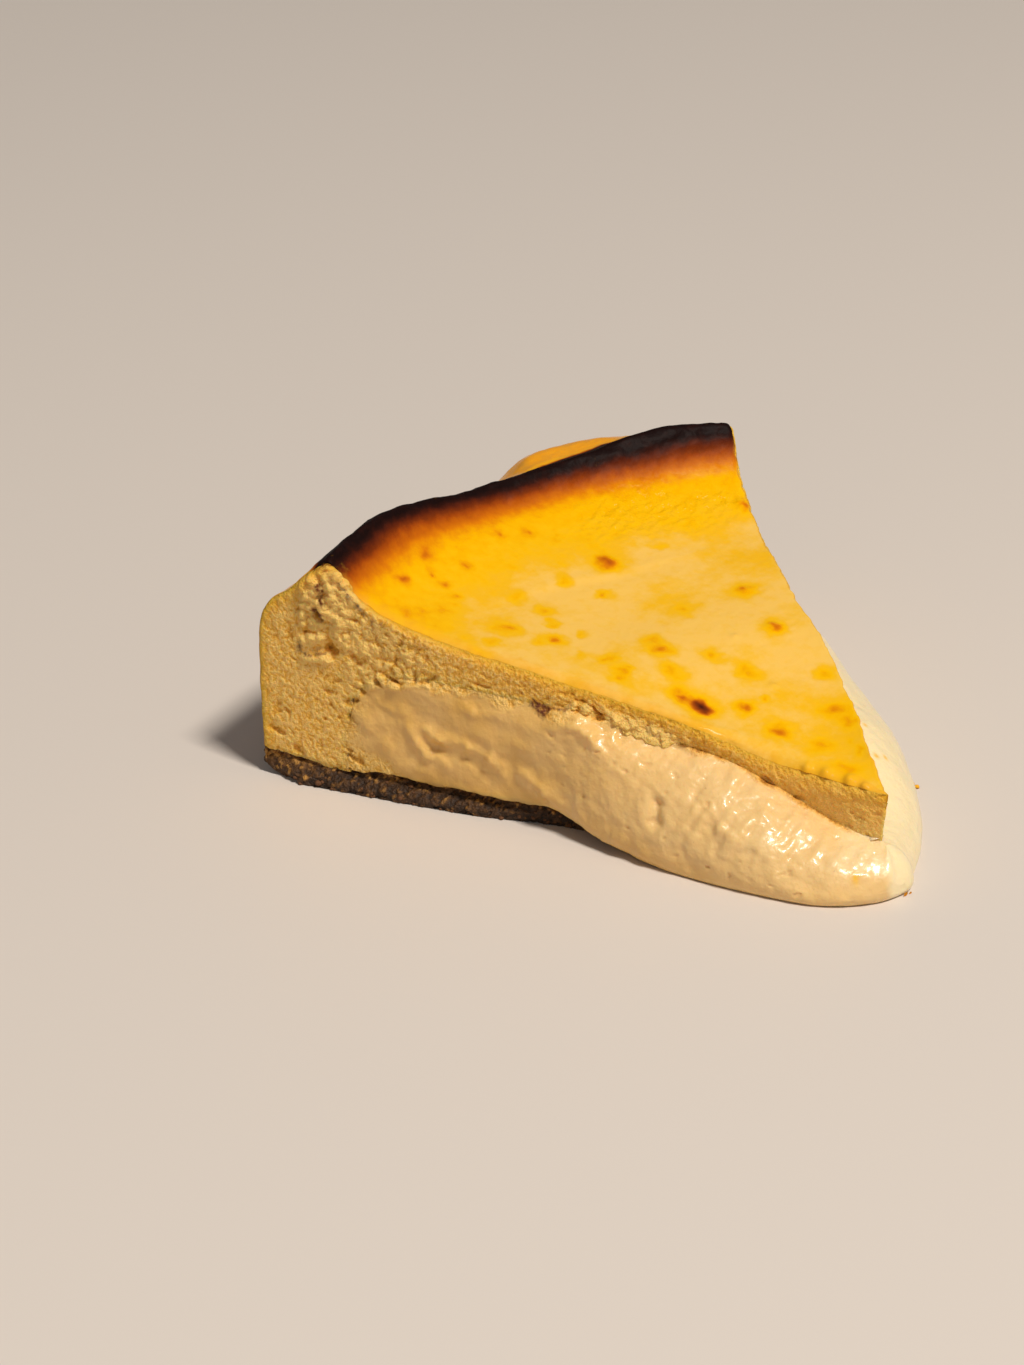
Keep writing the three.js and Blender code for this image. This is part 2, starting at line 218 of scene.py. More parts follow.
def curds(places, size, salt=0):
    """Distances to the nearest and the second nearest of scattered centres, one in each cell of a
    cubic grid of that size, and a fixed number for the nearest one. Distances are in cells."""
    scaled = places @ TURN.T / size
    low = np.floor(scaled).astype(np.int64)
    nearest = np.full(len(places), 9.0)
    second = nearest.copy()
    own = np.zeros(len(places))
    for step in NEIGHBOURS:
        cell = low + step
        jitter = np.stack([scattered(cell, salt + n) for n in range(3)], -1)
        away = np.linalg.norm(scaled - cell - 0.1 - 0.8 * jitter, axis=-1)
        closer = away < nearest
        second = np.where(closer, nearest, np.minimum(second, away))
        own = np.where(closer, scattered(cell, salt + 5), own)
        nearest = np.where(closer, away, nearest)
    return nearest, second, own


# Surfaces


def sheet_of(values):
    """A grid of places as one list, with its triangles. Seen from outside, columns run to the
    right and rows upwards."""
    rows, columns = values.shape[:2]
    index = np.arange(rows * columns).reshape(rows, columns)
    a, b, d, c = index[:-1, :-1], index[:-1, 1:], index[1:, :-1], index[1:, 1:]
    halves = [np.stack(corners, -1).reshape(-1, 3) for corners in ((a, b, c), (a, c, d))]
    return values.reshape(-1, values.shape[-1]), np.concatenate(halves)


def fan_of(centre, loop):
    """Triangles from a centre to each step of a row, which runs anticlockwise as seen from outside."""
    index = np.arange(1, len(loop))
    triangles = np.stack([np.zeros_like(index), index, index + 1], -1)
    return np.concatenate([[centre], loop]), triangles


def welded(parts):
    """Joins parts into one closed surface: places within a ten-thousandth of a millimetre become
    one, and triangles that shrink to a line go."""
    starts = np.cumsum([0] + [len(values) for values, _ in parts[:-1]])
    values = np.concatenate([part[0] for part in parts])
    triangles = np.concatenate([part[1] + start for part, start in zip(parts, starts)])
    keys = np.round(values[:, :3] * 1e4).astype(np.int64)
    _, first, place = np.unique(keys, axis=0, return_index=True, return_inverse=True)
    triangles = place.reshape(-1)[triangles]
    a, b, c = triangles.T
    return values[first], triangles[(a != b) & (b != c) & (c != a)]


def normals_of(points, triangles):
    """The unit normal at each point: the sum of its triangles' normals, weighted by area."""
    a, b, c = (points[triangles[:, n]] for n in range(3))
    across = np.cross(b - a, c - a)
    total = np.stack([
        sum(np.bincount(triangles[:, n], across[:, k], len(points)) for n in range(3)) for k in range(3)
    ], -1)
    return total / np.maximum(np.linalg.norm(total, axis=1), 1e-12)[:, None]


def piece_of(name, points, triangles, attributes, material):
    """A smooth mesh object at the origin, from places in millimetres round the tip. Relief that
    would stand out of the solids' box is cut off at it."""
    mesh = bpy.data.meshes.new(name)
    places = np.clip((points + [0, TIP_Y, 0]) * MM, *np.array(cad_box))
    mesh.vertices.add(len(places))
    mesh.vertices.foreach_set("co", places.astype(np.float32).ravel())
    mesh.loops.add(triangles.size)
    mesh.loops.foreach_set("vertex_index", triangles.astype(np.int32).ravel())
    mesh.polygons.add(len(triangles))
    mesh.polygons.foreach_set("loop_start", np.arange(0, triangles.size, 3, dtype=np.int32))
    mesh.update(calc_edges=True)
    mesh.shade_smooth()
    for label, values in attributes.items():
        layer = mesh.attributes.new(label, "FLOAT", "POINT")
        layer.data.foreach_set("value", values.astype(np.float32))
    mesh.materials.append(material)
    piece = bpy.data.objects.new(name, mesh)
    bpy.context.scene.collection.objects.link(piece)
    return piece


# Shapes that the pieces share


def hollow_at(r):
    """How far a cut sinks behind its plane at the custard's lower edge."""
    fading = 1 - smoothstep(r, HOLLOW["full_to"], HOLLOW["fade_out"])
    return HOLLOW["depth"] * smoothstep(r, 0, HOLLOW["fade_in"]) * fading


def tip_hollow_at(r):
    """How far the lower edge of the cuts stands back towards the rim at the tip."""
    return TIP_HOLLOW["depth"] * (1 - smoothstep(r, 0, TIP_HOLLOW["to"]))


def base_top(r):
    """The height of the base's upper face."""
    return mix(BASE_HEIGHT, BASE_RIM["height"], smoothstep(r, BASE_RIM["start"], BASE_RIM["end"]))


def placed(r, angle):
    """x and y of a place."""
    return np.stack([-r * np.sin(angle), r * np.cos(angle)], -1)


def out_of(angle):
    """The way straight out of a cut at that angle, on the front side."""
    return np.array([-np.cos(angle), -np.sin(angle)])


FRONT_OUT = out_of(HALF_ANGLE)
BACK_OUT = FRONT_OUT * [-1, 1]


# The baked custard. Each place has x, y, z, r, its angle, its depth under the skin, its share v of
# the way from the inside to the skin, and cut, which is 1 on the front cut and -1 on the back one.

R, ANGLE, DEPTH, SHARE, CUT = range(3, 8)


def custard_skin(s, angle):
    """r and z of the outside. The crest and the shoulder rise and fall along the rim, the skin
    waves a little, and it stands higher at the back cut near the tip."""
    r, z = np.moveaxis(skin_curve(s), -1, 0)
    degrees = np.degrees(angle)
    crest = crest_lift(degrees) * hump(r, CREST["r"], CREST["width"])
    shoulder = shoulder_lift(degrees) * smoothstep(r, 106, 114) * smoothstep(z, 16, 33)
    waves = noise(np.stack([r / 17, angle * 4, np.ones_like(r)], -1))
    wave = 0.5 * waves * smoothstep(r, 6, 30) * smoothstep(z, 14, 22)
    to_back = (HALF_ANGLE - angle) / (2 * HALF_ANGLE)
    lift = BACK_LIFT * to_back**2 * smoothstep(r, 0, 10) * (1 - smoothstep(r, 40, 70))
    return r + 0.45 * np.maximum(shoulder, 0), z + crest + shoulder + wave + lift


def roof(share):
    """r and z of the roof over the molten centre, with r = R u (1.4 - 0.4 u)."""
    r = MOLTEN_RADIUS * share * (1.4 - 0.4 * share)
    return r, ceiling(r)


def custard_inside(s):
    """r and z of the inside: along the roof, then down the wall round the molten centre."""
    r, z = roof(np.minimum(s / ROOF_SHARE, 1))
    down = np.maximum(0, s - ROOF_SHARE) / (1 - ROOF_SHARE)
    return r, mix(z, FLOOR - SUNK, down)


def cut_depth(v, r, side):
    """How far a place lies behind the plane of the cut on its side, 1 for front and -1 for back. Both
    cuts sink towards their lower edge, and the back one swells out under the skin."""
    rising = smoothstep(r, *BACK_SWELL["fade_in"])
    swell = BACK_SWELL["out"] * rising * (1 - smoothstep(r, *BACK_SWELL["fade_out"]))
    return hollow_at(r) * (1 - v) - np.where(side < 0, swell * v, 0)


def worn_edge(away, radius):
    """A worn edge as an eighth of a circle on each face, with its middle at the edge. For places at
    a distance from the sharp edge, how far off they come to lie, and how far they sink."""
    turn = np.pi / 4 * np.clip(1 - away / radius, 0, 1)
    return np.where(away < radius, radius * (1 - np.sin(turn)), away), radius * (1 - np.cos(turn))


def wear_at(r, angle, t):
    """The radius of the worn edge between the skin and a cut, larger on the front and at the tip."""
    front = mix(4.4, 3.0, smoothstep(r, 14, 48)) * (1 - 0.6 * smoothstep(r, 104, 110))
    uneven = 1 + 0.25 * noise(np.stack([r / 5, 4.0 * (t > 0.5), 0 * r], -1), 35)
    return np.minimum(np.where(angle > 0, front, 0.8) * uneven, 0.42 * r + 0.05)


def nibbled(r, z, side):
    """How far the knife has nibbled at the edge between the skin and a cut."""
    return 0.4 * layered(np.stack([r, 40.0 * side, z], -1), 1.8, 2, 37)


def custard_at(s, v, t, cut=0.0):
    """Places in a block bent into the slice's section: s runs from the tip over the crest and down
    to the base, v from the inside to the skin, and t from the front cut to the back one. Edges
    between the skin and the cuts are worn: places near them move along their own face and sink."""
    s, v, t, cut = np.broadcast_arrays(s, v, t, float(cut))
    on_cut = cut != 0
    angle = HALF_ANGLE * (1 - 2 * t)
    r0, z0 = custard_inside(s)
    r1, z1 = custard_skin(s, angle)
    across = np.hypot(r1 - r0, z1 - z0)
    depth = (1 - v) * across
    r = mix(r0, r1, v)
    wear = wear_at(r, angle, t)
    to_cut = r * np.sin(HALF_ANGLE - np.abs(angle))
    worn_to_cut, sunk = worn_edge(to_cut, wear)
    worn_depth, cut_sunk = worn_edge(depth, wear)
    worn_off = np.arcsin(np.clip(worn_to_cut / np.maximum(r, 0.1), 0, 0.47))
    worn_angle = np.sign(angle) * (HALF_ANGLE - worn_off)
    angle = np.where(~on_cut & (to_cut < wear) & (v > 0.3), worn_angle, angle)
    v = np.where(on_cut, 1 - worn_depth / across, v - sunk * smoothstep(v, 0.3, 0.9) / across)
    r = mix(r0, r1, v)
    z = np.where(s < 1, mix(z0, z1, v), base_top(r) - SUNK)
    side = np.where(on_cut, cut, np.sign(angle))
    side_out = np.where((side > 0)[..., None], FRONT_OUT, BACK_OUT)
    behind = cut_depth(v, r, side) * np.where(on_cut, 1, hump(to_cut, 0, 4))
    behind = behind + np.where(on_cut, cut_sunk, 0)
    from_edge = np.where(on_cut, depth, to_cut)
    behind = behind + nibbled(r, z, side) * hump(from_edge, 0, 1.2) * (side != 0)
    plan = placed(r, angle) - side_out * behind[..., None]
    y = plan[..., 1] + tip_hollow_at(r) * (1 - v)
    return np.stack([plan[..., 0], y, z, r, angle, depth, v, cut], -1)


# How the block's outside goes down under the skin, as two distances from a cut and the depth that
# it goes down by between them
BLOCK_UNDER_SKIN = [(0, 0.5, 0.25), (0.5, 1.1, 1.3), (1.0, 2.4, 1.4)]
# How thick the skin is, and how far its lower side stays behind the cuts
SKIN = {"thickness": 3.4, "tuck": 1.6}


def closer_at_ends(u, amount):
    """Shares from 0 to 1 that stand closer together at both ends: u - amount sin(2 pi u) / (2 pi)."""
    return u - amount * np.sin(2 * np.pi * u) / (2 * np.pi)


def custard_surface():
    """The block's outside, its inside and its two cuts, with its underside closed by a fan. The
    edges of the outside and of the inside are given the cuts' own places, so that they meet. The
    outside starts at the skin, a piece of its own, by the cuts and lies deeper elsewhere."""
    count = CUSTARD_STEPS
    s = np.linspace(0, 1, count["along"] + 1)
    v = np.linspace(0, 1, count["through"] + 1)
    front = custard_at(s[:, None], v[None, :], 0.0, 1)
    back = custard_at(s[None, :], v[:, None], 1.0, -1)
    across = closer_at_ends(np.linspace(0, 1, count["across"] + 1), 0.6)
    to_cut = 2 * HALF_ANGLE * np.minimum(across, 1 - across) * custard_skin(s, 0 * s)[0][:, None]
    deep = sum(depth * smoothstep(to_cut, start, end) for start, end, depth in BLOCK_UNDER_SKIN)
    outside = custard_at(s[:, None], under_skin(s[:, None], deep), across[None, :])
    outside[:, 0], outside[:, -1] = front[:, -1], back[-1]
    inside = custard_at(s[None, :], 0.0, np.linspace(0, 1, count["inside"] + 1)[:, None])
    inside[0], inside[-1] = front[:, 0], back[0]
    loop = np.concatenate([front[-1, :-1], outside[-1, :-1], back[::-1, -1][:-1], inside[::-1, -1]])
    centre = custard_at(1.0, 0.6, 0.5)
    grids = [sheet_of(front), sheet_of(back), sheet_of(outside), sheet_of(inside)]
    return welded(grids + [fan_of(centre, loop)])


def under_skin(s, deep):
    """The share of the way from the inside to the skin that stops that deep under the skin."""
    r0, z0 = custard_inside(s)
    r1, z1 = custard_skin(s, 0.0 * s)
    return 1 - deep / np.hypot(r1 - r0, z1 - z0)


def skin_surface():
    """The skin: a closed sheet from cut to cut, whose upper side is the slice's outside. It meets
    the cuts at their own edges. Its lower side is sunk in the block and tucked in behind them."""
    count = SKIN_STEPS
    s = np.linspace(0, 1, count["along"] + 1)[:, None]
    over = closer_at_ends(np.linspace(0, 1, count["across"] + 1), 0.5)[None, :]
    under = np.linspace(1, 0, count["under"] + 1)[None, :]
    width = 2 * HALF_ANGLE * np.maximum(custard_skin(s, 0.0 * s)[0], 1)
    tucked = np.minimum(SKIN["tuck"] / width, 0.3)
    outer = custard_at(s, 1.0, over)
    outer[:, 0] = custard_at(s[:, 0], 1.0, 0.0, 1)
    outer[:, -1] = custard_at(s[:, 0], 1.0, 1.0, -1)
    inner = custard_at(s, under_skin(s, SKIN["thickness"]), mix(tucked, 1 - tucked, under))
    rows = np.concatenate([outer, inner, outer[:, :1]], 1)
    centre = custard_at(1.0, 0.95, 0.5)
    return welded([sheet_of(rows), fan_of(centre, rows[-1])])


# Tears and holes in the front cut: strokes from one r, z to another, with half width and height
TEARS = [
    (99.5, 20.8, 97.0, 19.4, 0.47, -0.7), (95.9, 23.0, 94.2, 21.3, 0.42, -0.7),
    (93.4, 23.8, 91.0, 23.2, 0.42, -0.63), (88.5, 26.1, 88.1, 24.4, 0.38, -0.56),
    (87.0, 24.0, 84.0, 25.9, 0.38, -0.56), (100.7, 27.7, 98.4, 25.5, 0.51, -0.63),
    (76.5, 25.8, 74.4, 25.4, 0.42, -0.56), (79.4, 31.4, 77.9, 31.5, 0.42, -0.42),
    (61.7, 30.4, 60.4, 30.0, 0.42, -0.42), (56.1, 28.5, 54.8, 27.7, 0.34, -0.35),
    (101.9, 17.5, 99.3, 18.4, 0.38, -0.56), (101.4, 15.0, 99.8, 13.9, 0.34, -0.49),
    (116.9, 9.8, 114.6, 9.1, 0.51, -0.7), (112.2, 6.6, 110.6, 5.4, 0.51, -0.63),
    (101.6, 6.8, 98.8, 6.2, 0.42, -0.56), (105.8, 19.2, 103.9, 19.0, 0.34, -0.42),
    (31.2, 17.1, 30.1, 16.6, 0.59, -0.77), (22.5, 16.2, 21.5, 15.8, 0.42, -0.56),
    (17.6, 12.3, 16.6, 11.7, 0.42, -0.49), (29.6, 23.3, 28.6, 23.2, 0.77, -0.63),
]
# The mass of curds under the end of the crest, and the ledge of curds over the run-out
MASSES = [
    (107.6, 40.2, 105.4, 35.6, 2.6, 0.4), (50.0, 22.0, 41.0, 20.4, 1.7, 1.0),
    (108.6, 41.5, 108.2, 41.2, 1.1, 0.5), (109.7, 38.9, 109.4, 38.4, 1.0, 0.6),
    (108.0, 37.4, 107.7, 37.1, 0.9, 0.5), (104.5, 35.2, 104.2, 34.6, 1.0, 0.6),
    (102.6, 33.9, 102.6, 33.1, 0.9, 0.6), (102.6, 31.9, 102.4, 31.4, 0.9, 0.5),
    (101.6, 35.4, 101.4, 34.9, 0.9, 0.5), (103.8, 39.6, 103.6, 38.8, 0.8, 0.5),
    (47.2, 22.6, 46.6, 22.2, 0.9, 0.5), (43.5, 20.6, 43.0, 20.4, 1.0, 0.6),
    (41.1, 21.9, 40.6, 21.6, 0.9, 0.5), (37.6, 21.6, 37.2, 21.2, 0.9, 0.5),
]
# The pocket under the mass of curds: a hollow at its inner end, lumps beside it, and its lower lip
POCKET = [
    (105.3, 27.9, 104.3, 27.3, 1.1, -1.2), (107.6, 26.9, 105.4, 27.2, 0.6, -0.7),
    (108.4, 29.2, 107.8, 29.0, 0.9, 0.6), (109.6, 25.2, 104.8, 25.4, 0.6, 0.7),
    (110.0, 28.5, 109.8, 28.0, 0.8, 0.5), (103.2, 28.4, 103.0, 26.8, 0.7, 0.3),
]
# Small scorched places on the front cut, as strokes with half widths
CHAR_BITS = [
    (106.4, 39.9, 106.0, 39.0, 0.7, 1.2), (105.9, 37.6, 105.6, 37.0, 0.6, 1.2),
    (107.4, 35.0, 106.6, 34.5, 0.9, 1.2), (106.3, 33.8, 106.0, 33.4, 0.5, 1),
    (110.6, 27.8, 110.3, 26.6, 0.7, 0.85), (109.6, 25.9, 106.0, 26.3, 0.35, 0.8),
    (64.9, 23.8, 63.2, 23.2, 1.1, 1.3), (62.6, 23.4, 58.8, 23.6, 0.35, 0.8),
]

# Scorched spots on the skin, as r, angle in degrees, radius and how far they are baked
SPOTS = [
    (37.4, 15.9, 2.5, 0.78), (37.4, 15.9, 1.3, 0.84), (41.4, 16.6, 2.0, 0.62), (32.4, 6.3, 1.8, 0.58),
    (24.5, 5.9, 2.2, 0.56), (24.9, -20.6, 2.2, 0.5), (20.8, -23.4, 1.8, 0.5), (9.0, 2.3, 2.0, 0.48),
    (15.8, -16.4, 1.4, 0.3), (49.4, -19.8, 1.9, 0.6), (63.1, -20.2, 2.2, 0.54), (61.1, -7.6, 2.3, 0.44),
    (35.2, -24.7, 1.8, 0.38), (52.6, 6.1, 2.3, 0.53), (55.2, 4.4, 1.8, 0.44), (46.1, -1.8, 1.6, 0.42),
    (46.6, 10.6, 2.4, 0.46), (52.6, 18.7, 1.6, 0.5), (38.6, -5.4, 1.6, 0.42), (67.5, 17.2, 1.9, 0.56),
    (69.9, 19.1, 1.4, 0.38), (76.1, 18.9, 2.3, 0.52), (76.1, 27.2, 1.6, 0.4), (60.9, 18.3, 1.2, 0.3),
    (72.8, 0.5, 1.6, 0.5), (81.1, -5.0, 2.3, 0.66), (90.7, -27.2, 1.5, 0.6), (79.3, 25.1, 1.6, 0.3),
    (85.4, 24.9, 1.6, 0.4), (87.6, 19.1, 1.2, 0.4), (88.4, 17.0, 1.4, 0.46), (92.2, 25.1, 1.7, 0.5),
    (97.6, 20.2, 1.3, 0.64), (94.9, 16.1, 1.2, 0.6), (91.8, 16.3, 1.3, 0.56), (92.8, 11.6, 1.4, 0.54),
    (98.2, 14.2, 1.8, 0.62), (96.5, 3.7, 1.3, 0.58), (94.7, 0.3, 1.5, 0.57), (91.6, -2.3, 1.2, 0.46),
    (84.5, 0.7, 1.1, 0.34), (88.4, 6.7, 1.0, 0.37), (81.7, 11.0, 1.6, 0.38), (79.8, 2.9, 1.6, 0.38),
    (74.7, 11.0, 1.7, 0.42), (89.9, 23.4, 1.4, 0.5), (87.8, 21.1, 1.4, 0.46), (71.4, 13.3, 1.2, 0.42),
    (32.0, -1.0, 0.9, 0.42), (16.9, -0.1, 1.8, 0.5), (12.5, -20.0, 0.9, 0.44), (42.9, 15.3, 1.5, 0.5),
    (65.1, 12.5, 1.2, 0.34), (75.6, 23.8, 1.2, 0.4), (52.0, 20.8, 1.2, 0.44), (56.3, 16.6, 1.6, 0.42),
    (52.4, 16.8, 1.0, 0.46), (71.7, 13.4, 0.9, 0.4), (40.1, -5.4, 1.7, 0.42), (83.0, -13.6, 1.4, 0.3),
]


def with_spots(browning, values):
    """How far the skin is baked once each spot has drawn it towards its own level, by a bell over
    the distance from the spot's middle, with ragged edges and a darker core."""
    warp = np.stack([layered(values[:, :3], 2.6, 3, salt) for salt in (51, 57)], -1)
    flat = placed(values[:, R], values[:, ANGLE]) + 1.5 * warp
    for r, degrees, radius, level in SPOTS:
        away = np.linalg.norm(flat - placed(r, np.radians(degrees)), axis=1)
        baked = level + 0.08 * hump(away, 0, 0.4 * radius)
        browning = mix(browning, np.maximum(browning, baked), np.exp(-((away / (1.2 * radius)) ** 2.6)))
    return browning


def strokes_at(places, r, z, strokes):
    """The summed height of strokes over r, z. Across its line each falls as a bell, and the lines
    are bent and broken up by noise."""
    bent_r = r + 0.7 * layered(places, 2.0, 3, 151)
    bent_z = z + 0.7 * layered(places, 2.0, 3, 157)
    total = np.zeros(len(r))
    for r0, z0, r1, z1, width, height in strokes:
        run, rise = r1 - r0, z1 - z0
        share = np.clip(((bent_r - r0) * run + (bent_z - z0) * rise) / (run**2 + rise**2), 0, 1)
        away = np.hypot(bent_r - r0 - share * run, bent_z - z0 - share * rise)
        total += height * hump(away, 0, width)
    return total


def raggedness(r, z):
    """How torn the front cut is at r, z, from 0 for even crumb to 1: most in the mass of curds
    under the crest's end and along the ledge over the run-out, less in the band beside them."""
    crown = smoothstep(r, 99, 103) * (1 - smoothstep(r, 109.5, 111.5)) * smoothstep(z, 26, 31)
    beside = 0.45 * smoothstep(r, 80, 90) * (1 - smoothstep(r, 98, 104)) * smoothstep(z, 18, 23)
    ledge = smoothstep(r, 34, 42) * (1 - smoothstep(r, 55, 64))
    ledge = ledge * (1 - smoothstep(z - ceiling(r), 2.5, 5.5))
    return np.clip(0.1 + crown + beside + ledge, 0, 1)


def crumb_relief(places, ragged):
    """The height of the cut custard's crumb: soft crags, grain of a millimetre and finer, small
    pits, and, where it is torn, curds of 1.9 and 1 mm with heaps of 3.4 mm among them."""
    crag = mix(0.16, 0.4, ragged) * layered(places, 6.5, 2, 3)
    grain = 0.18 * layered(places, 0.9, 2, 20)
    pit = 0.32 * smoothstep(layered(places, 1.5, 2, 60), 0.32, 0.62)
    near, _, own = curds(places, 1.9, 40)
    small, _, small_own = curds(places, 1.0, 44)
    lump = (0.4 + own) * (0.45 - near**2) + 0.5 * (0.4 + small_own) * (0.4 - small**2)
    large, _, large_own = curds(places, 3.4, 48)
    heap = smoothstep(ragged, 0.6, 1) * (0.5 + large_own) * (0.42 - large**2)
    return crag + grain - pit + 1.5 * ragged * lump + 1.1 * heap


def front_relief(places, r, z):
    """The height of all that shows on the front cut's crumb."""
    torn = strokes_at(places, r, z, TEARS + POCKET)
    return crumb_relief(places, raggedness(r, z)) + torn + strokes_at(places, r, z, MASSES)


def skin_relief(values):
    """The height of the skin's relief: broad soft folds, one long crease, blisters, crinkles of two
    sizes where it dried, wrinkles of two sizes along the scorched crest, and faint upright pleats
    on the side."""
    r, angle = values[:, R], values[:, ANGLE]
    along, degrees = r * angle, np.degrees(angle)
    folds = 0.22 * layered(values[:, :3], 17, 3, 5)
    crease_r = crease_line(degrees) + 1.2 * layered(values[:, :3], 9, 3, 13)
    crease = (0.14 * hump(r, crease_r, 1.2) - 0.16 * hump(r, crease_r - 2.4, 2)) * hump(degrees, -2, 14)
    on_crest = hump(r, 105, 4.2) * smoothstep(values[:, 2], 30, 36)
    wrinkles = 0.3 * noise(np.stack([along / 3, r / 1.5, values[:, 2] / 1.8], -1), 9)
    wrinkles = wrinkles + 0.25 * noise(np.stack([along / 5, r / 3, values[:, 2] / 5], -1), 17)
    squeezed = np.stack([along, 1.5 * r, 0 * r], -1)
    crinkles = (0.26 * billow(squeezed, 2.0, 19) + 0.16 * billow(squeezed, 1.4, 23)) * crinkled(values)
    on_side = smoothstep(r, 108, 112)
    pleats = 0.2 * noise(np.stack([along / 5, values[:, 2] / 30, 0 * r], -1), 15)
    parched = on_side * (pleats + 0.2 * layered(values[:, :3], 3.2, 3, 61))
    flat = placed(r, angle)
    blisters = sum(
        height * hump(np.linalg.norm(flat - placed(at, np.radians(turned)), axis=1), 0, radius)
        for at, turned, radius, height in BLISTERS
    )
    return folds + crease + blisters + crinkles + parched + on_crest * wrinkles


# The crease across the skin, as [angle in degrees, r], and blisters as r, angle, radius, height
crease_line = height_over([[-28, 80], [-18.3, 78.5], [-5.5, 78.2], [3.9, 80], [13.4, 82.8], [28, 87]])
BLISTERS = [
    (81.1, -5.0, 1.5, 0.7), (90.7, -27.0, 1.6, 0.6), (63.1, -20.2, 1.4, 0.35), (49.4, -19.8, 1.3, 0.45),
    (49.0, -10.5, 0.8, 0.3), (34.5, -8.6, 0.8, 0.35), (97.0, -8.2, 1.2, 0.3),
    (12.0, 18.3, 0.9, 0.75), (7.7, 14.4, 1.0, 0.8), (4.6, 17.0, 0.8, 0.7), (15.4, 20.4, 0.8, 0.6),
]


def browning_of(values):
    """How far the skin is baked, from pale 0 to black 1, by r and angle, with blotches. The colours
    of the crest lie a little further in or out along it."""
    r, angle = values[:, R], np.degrees(values[:, ANGLE])
    blotch = layered(values[:, :3], 11, 3, 31)
    fine = layered(values[:, :3], 2.6, 2, 47)
    inner = 1 - smoothstep(r, 94, 100)
    shift = crest_shift(angle) + mix(0.35, 1.4, inner) * blotch + 0.15 * fine
    shift = shift + 0.12 * np.maximum(angle - 8, 0) * inner
    top = height_over(BROWNING_LINE)(r + shift) + 0.28 * blotch * (1 - smoothstep(r, 84, 92))
    side = 0.56 - 0.26 * smoothstep(values[:, 2], 33, 37) + 0.14 * blotch + 0.12 * fine
    return with_spots(mix(top, side, smoothstep(r + 0.8 * fine, 107.2, 109.4)), values)


# How far inwards the colours of the crest lie, as [angle in degrees, distance]
crest_shift = height_over([
    [-28.1, 0.8], [-25, 1.0], [-22, 1.2], [-17, 1.2], [-12, 0.8], [-7, 0.5], [12, 0.3], [20, 0.5],
    [28.1, 0.5],
])
# How far the skin is baked over r, from the pale middle to the black crest
BROWNING_LINE = [
    [0, 0.28], [8, 0.24], [22, 0.15], [45, 0.05], [62, 0.04], [76, 0.03], [82, 0.06], [85.5, 0.12],
    [87.5, 0.19], [89, 0.24], [90.5, 0.29], [91.8, 0.32], [95, 0.36], [97.6, 0.42], [98.8, 0.47],
    [99.7, 0.56], [100.7, 0.63], [101.3, 0.69], [101.9, 0.74], [102.6, 0.81], [103.3, 0.89],
    [104, 0.95], [104.7, 1], [112, 1],
]


def by_the_cut(values, front, back):
    """How near to a cut a place of the skin lies, from 1 at the edge to 0, by a bell over the
    distance, whose widths are given for the front and the back cut."""
    angle = values[:, ANGLE]
    away = values[:, R] * np.sin(np.maximum(HALF_ANGLE - np.abs(angle), 0))
    return hump(away, 0, np.where(angle > 0, front, back))


def faded_at(values):
    """How far the skin's colour may fade by a cut: fully, but hardly on the black crest."""
    crest = hump(values[:, R], 106, 4.5) * smoothstep(values[:, 2], 34, 40)
    return 1 - crest * np.where(values[:, ANGLE] > 0, 0.85, 1)


def crinkled(values):
    """Where the skin is finely crinkled: below the crest towards the back cut, and on the crest."""
    r, angle = values[:, R], np.degrees(values[:, ANGLE])
    ragged = smoothstep(layered(values[:, :3], 7, 2, 63), -0.35, 0.2)
    patch = hump(r, 93, 6) * smoothstep(-angle, 3, 13) * ragged
    crest = 0.16 * hump(r, 103.6, 3.5) * smoothstep(values[:, 2], 30, 36)
    return np.clip(0.1 + patch + crest, 0, 1)


def painted_light_and_shade_at(r):
    """How much lighter the crumb is painted near the tip, a painted light, and how much darker along
    the middle, a painted shade; it is a little lighter again towards the rim.
    """
    tip = 0.32 - 0.31 * smoothstep(r, 6, 22)
    return tip - 0.08 * smoothstep(r, 24, 45) + 0.07 * smoothstep(r, 92, 102)


def baked_custard():
    """The block of custard, with its crumb and the marks on its front cut. The crumb's relief fades
    out at the skin, and the cut is scorched along its edge under the crest."""
    values, triangles = custard_surface()
    points = values[:, :3].copy()
    normals = normals_of(points, triangles)
    r, z, v, cut = values[:, R], points[:, 2], values[:, SHARE], values[:, CUT]
    crumb = np.where(cut > 0, front_relief(points, r, z), crumb_relief(points, 0.25 + 0 * r))
    relief = crumb * (1 - hump(values[:, DEPTH], 0, 0.75))
    points += normals * np.where(cut == 0, 0, relief)[:, None]
    points[:, 2] -= np.where(cut == 0, 0, hanging(values[:, :3], r) * (1 - smoothstep(v, 0.75, 1)))
    torn = np.where(cut > 0, strokes_at(values[:, :3], r, z, TEARS + POCKET), 0)
    scorched_edge = hump(values[:, DEPTH], 0, 0.9) * hump(r, 105, 3)
    char = strokes_at(values[:, :3], r, z, CHAR_BITS) + 0.9 * scorched_edge
    attributes = {
        # depth is shrunk towards the tip so that the yellow under the skin reaches deeper there: painted
        # light on the dim face by the tip
        "depth": values[:, DEPTH] * mix(0.45, 1, smoothstep(r, 10, 60)),
        # high follows the crumb's relief and tears: painted shade in pits and slits, painted light on
        # raised grains, with the painted light and shade along r
        "high": 0.5 + 0.42 * crumb - 0.3 * np.clip(torn, -1, 0) + painted_light_and_shade_at(r),
        "char": np.where(cut > 0, np.clip(char, 0, 1), 0),
    }
    return piece_of("baked_custard_grain", points, triangles, attributes, crumb_material())


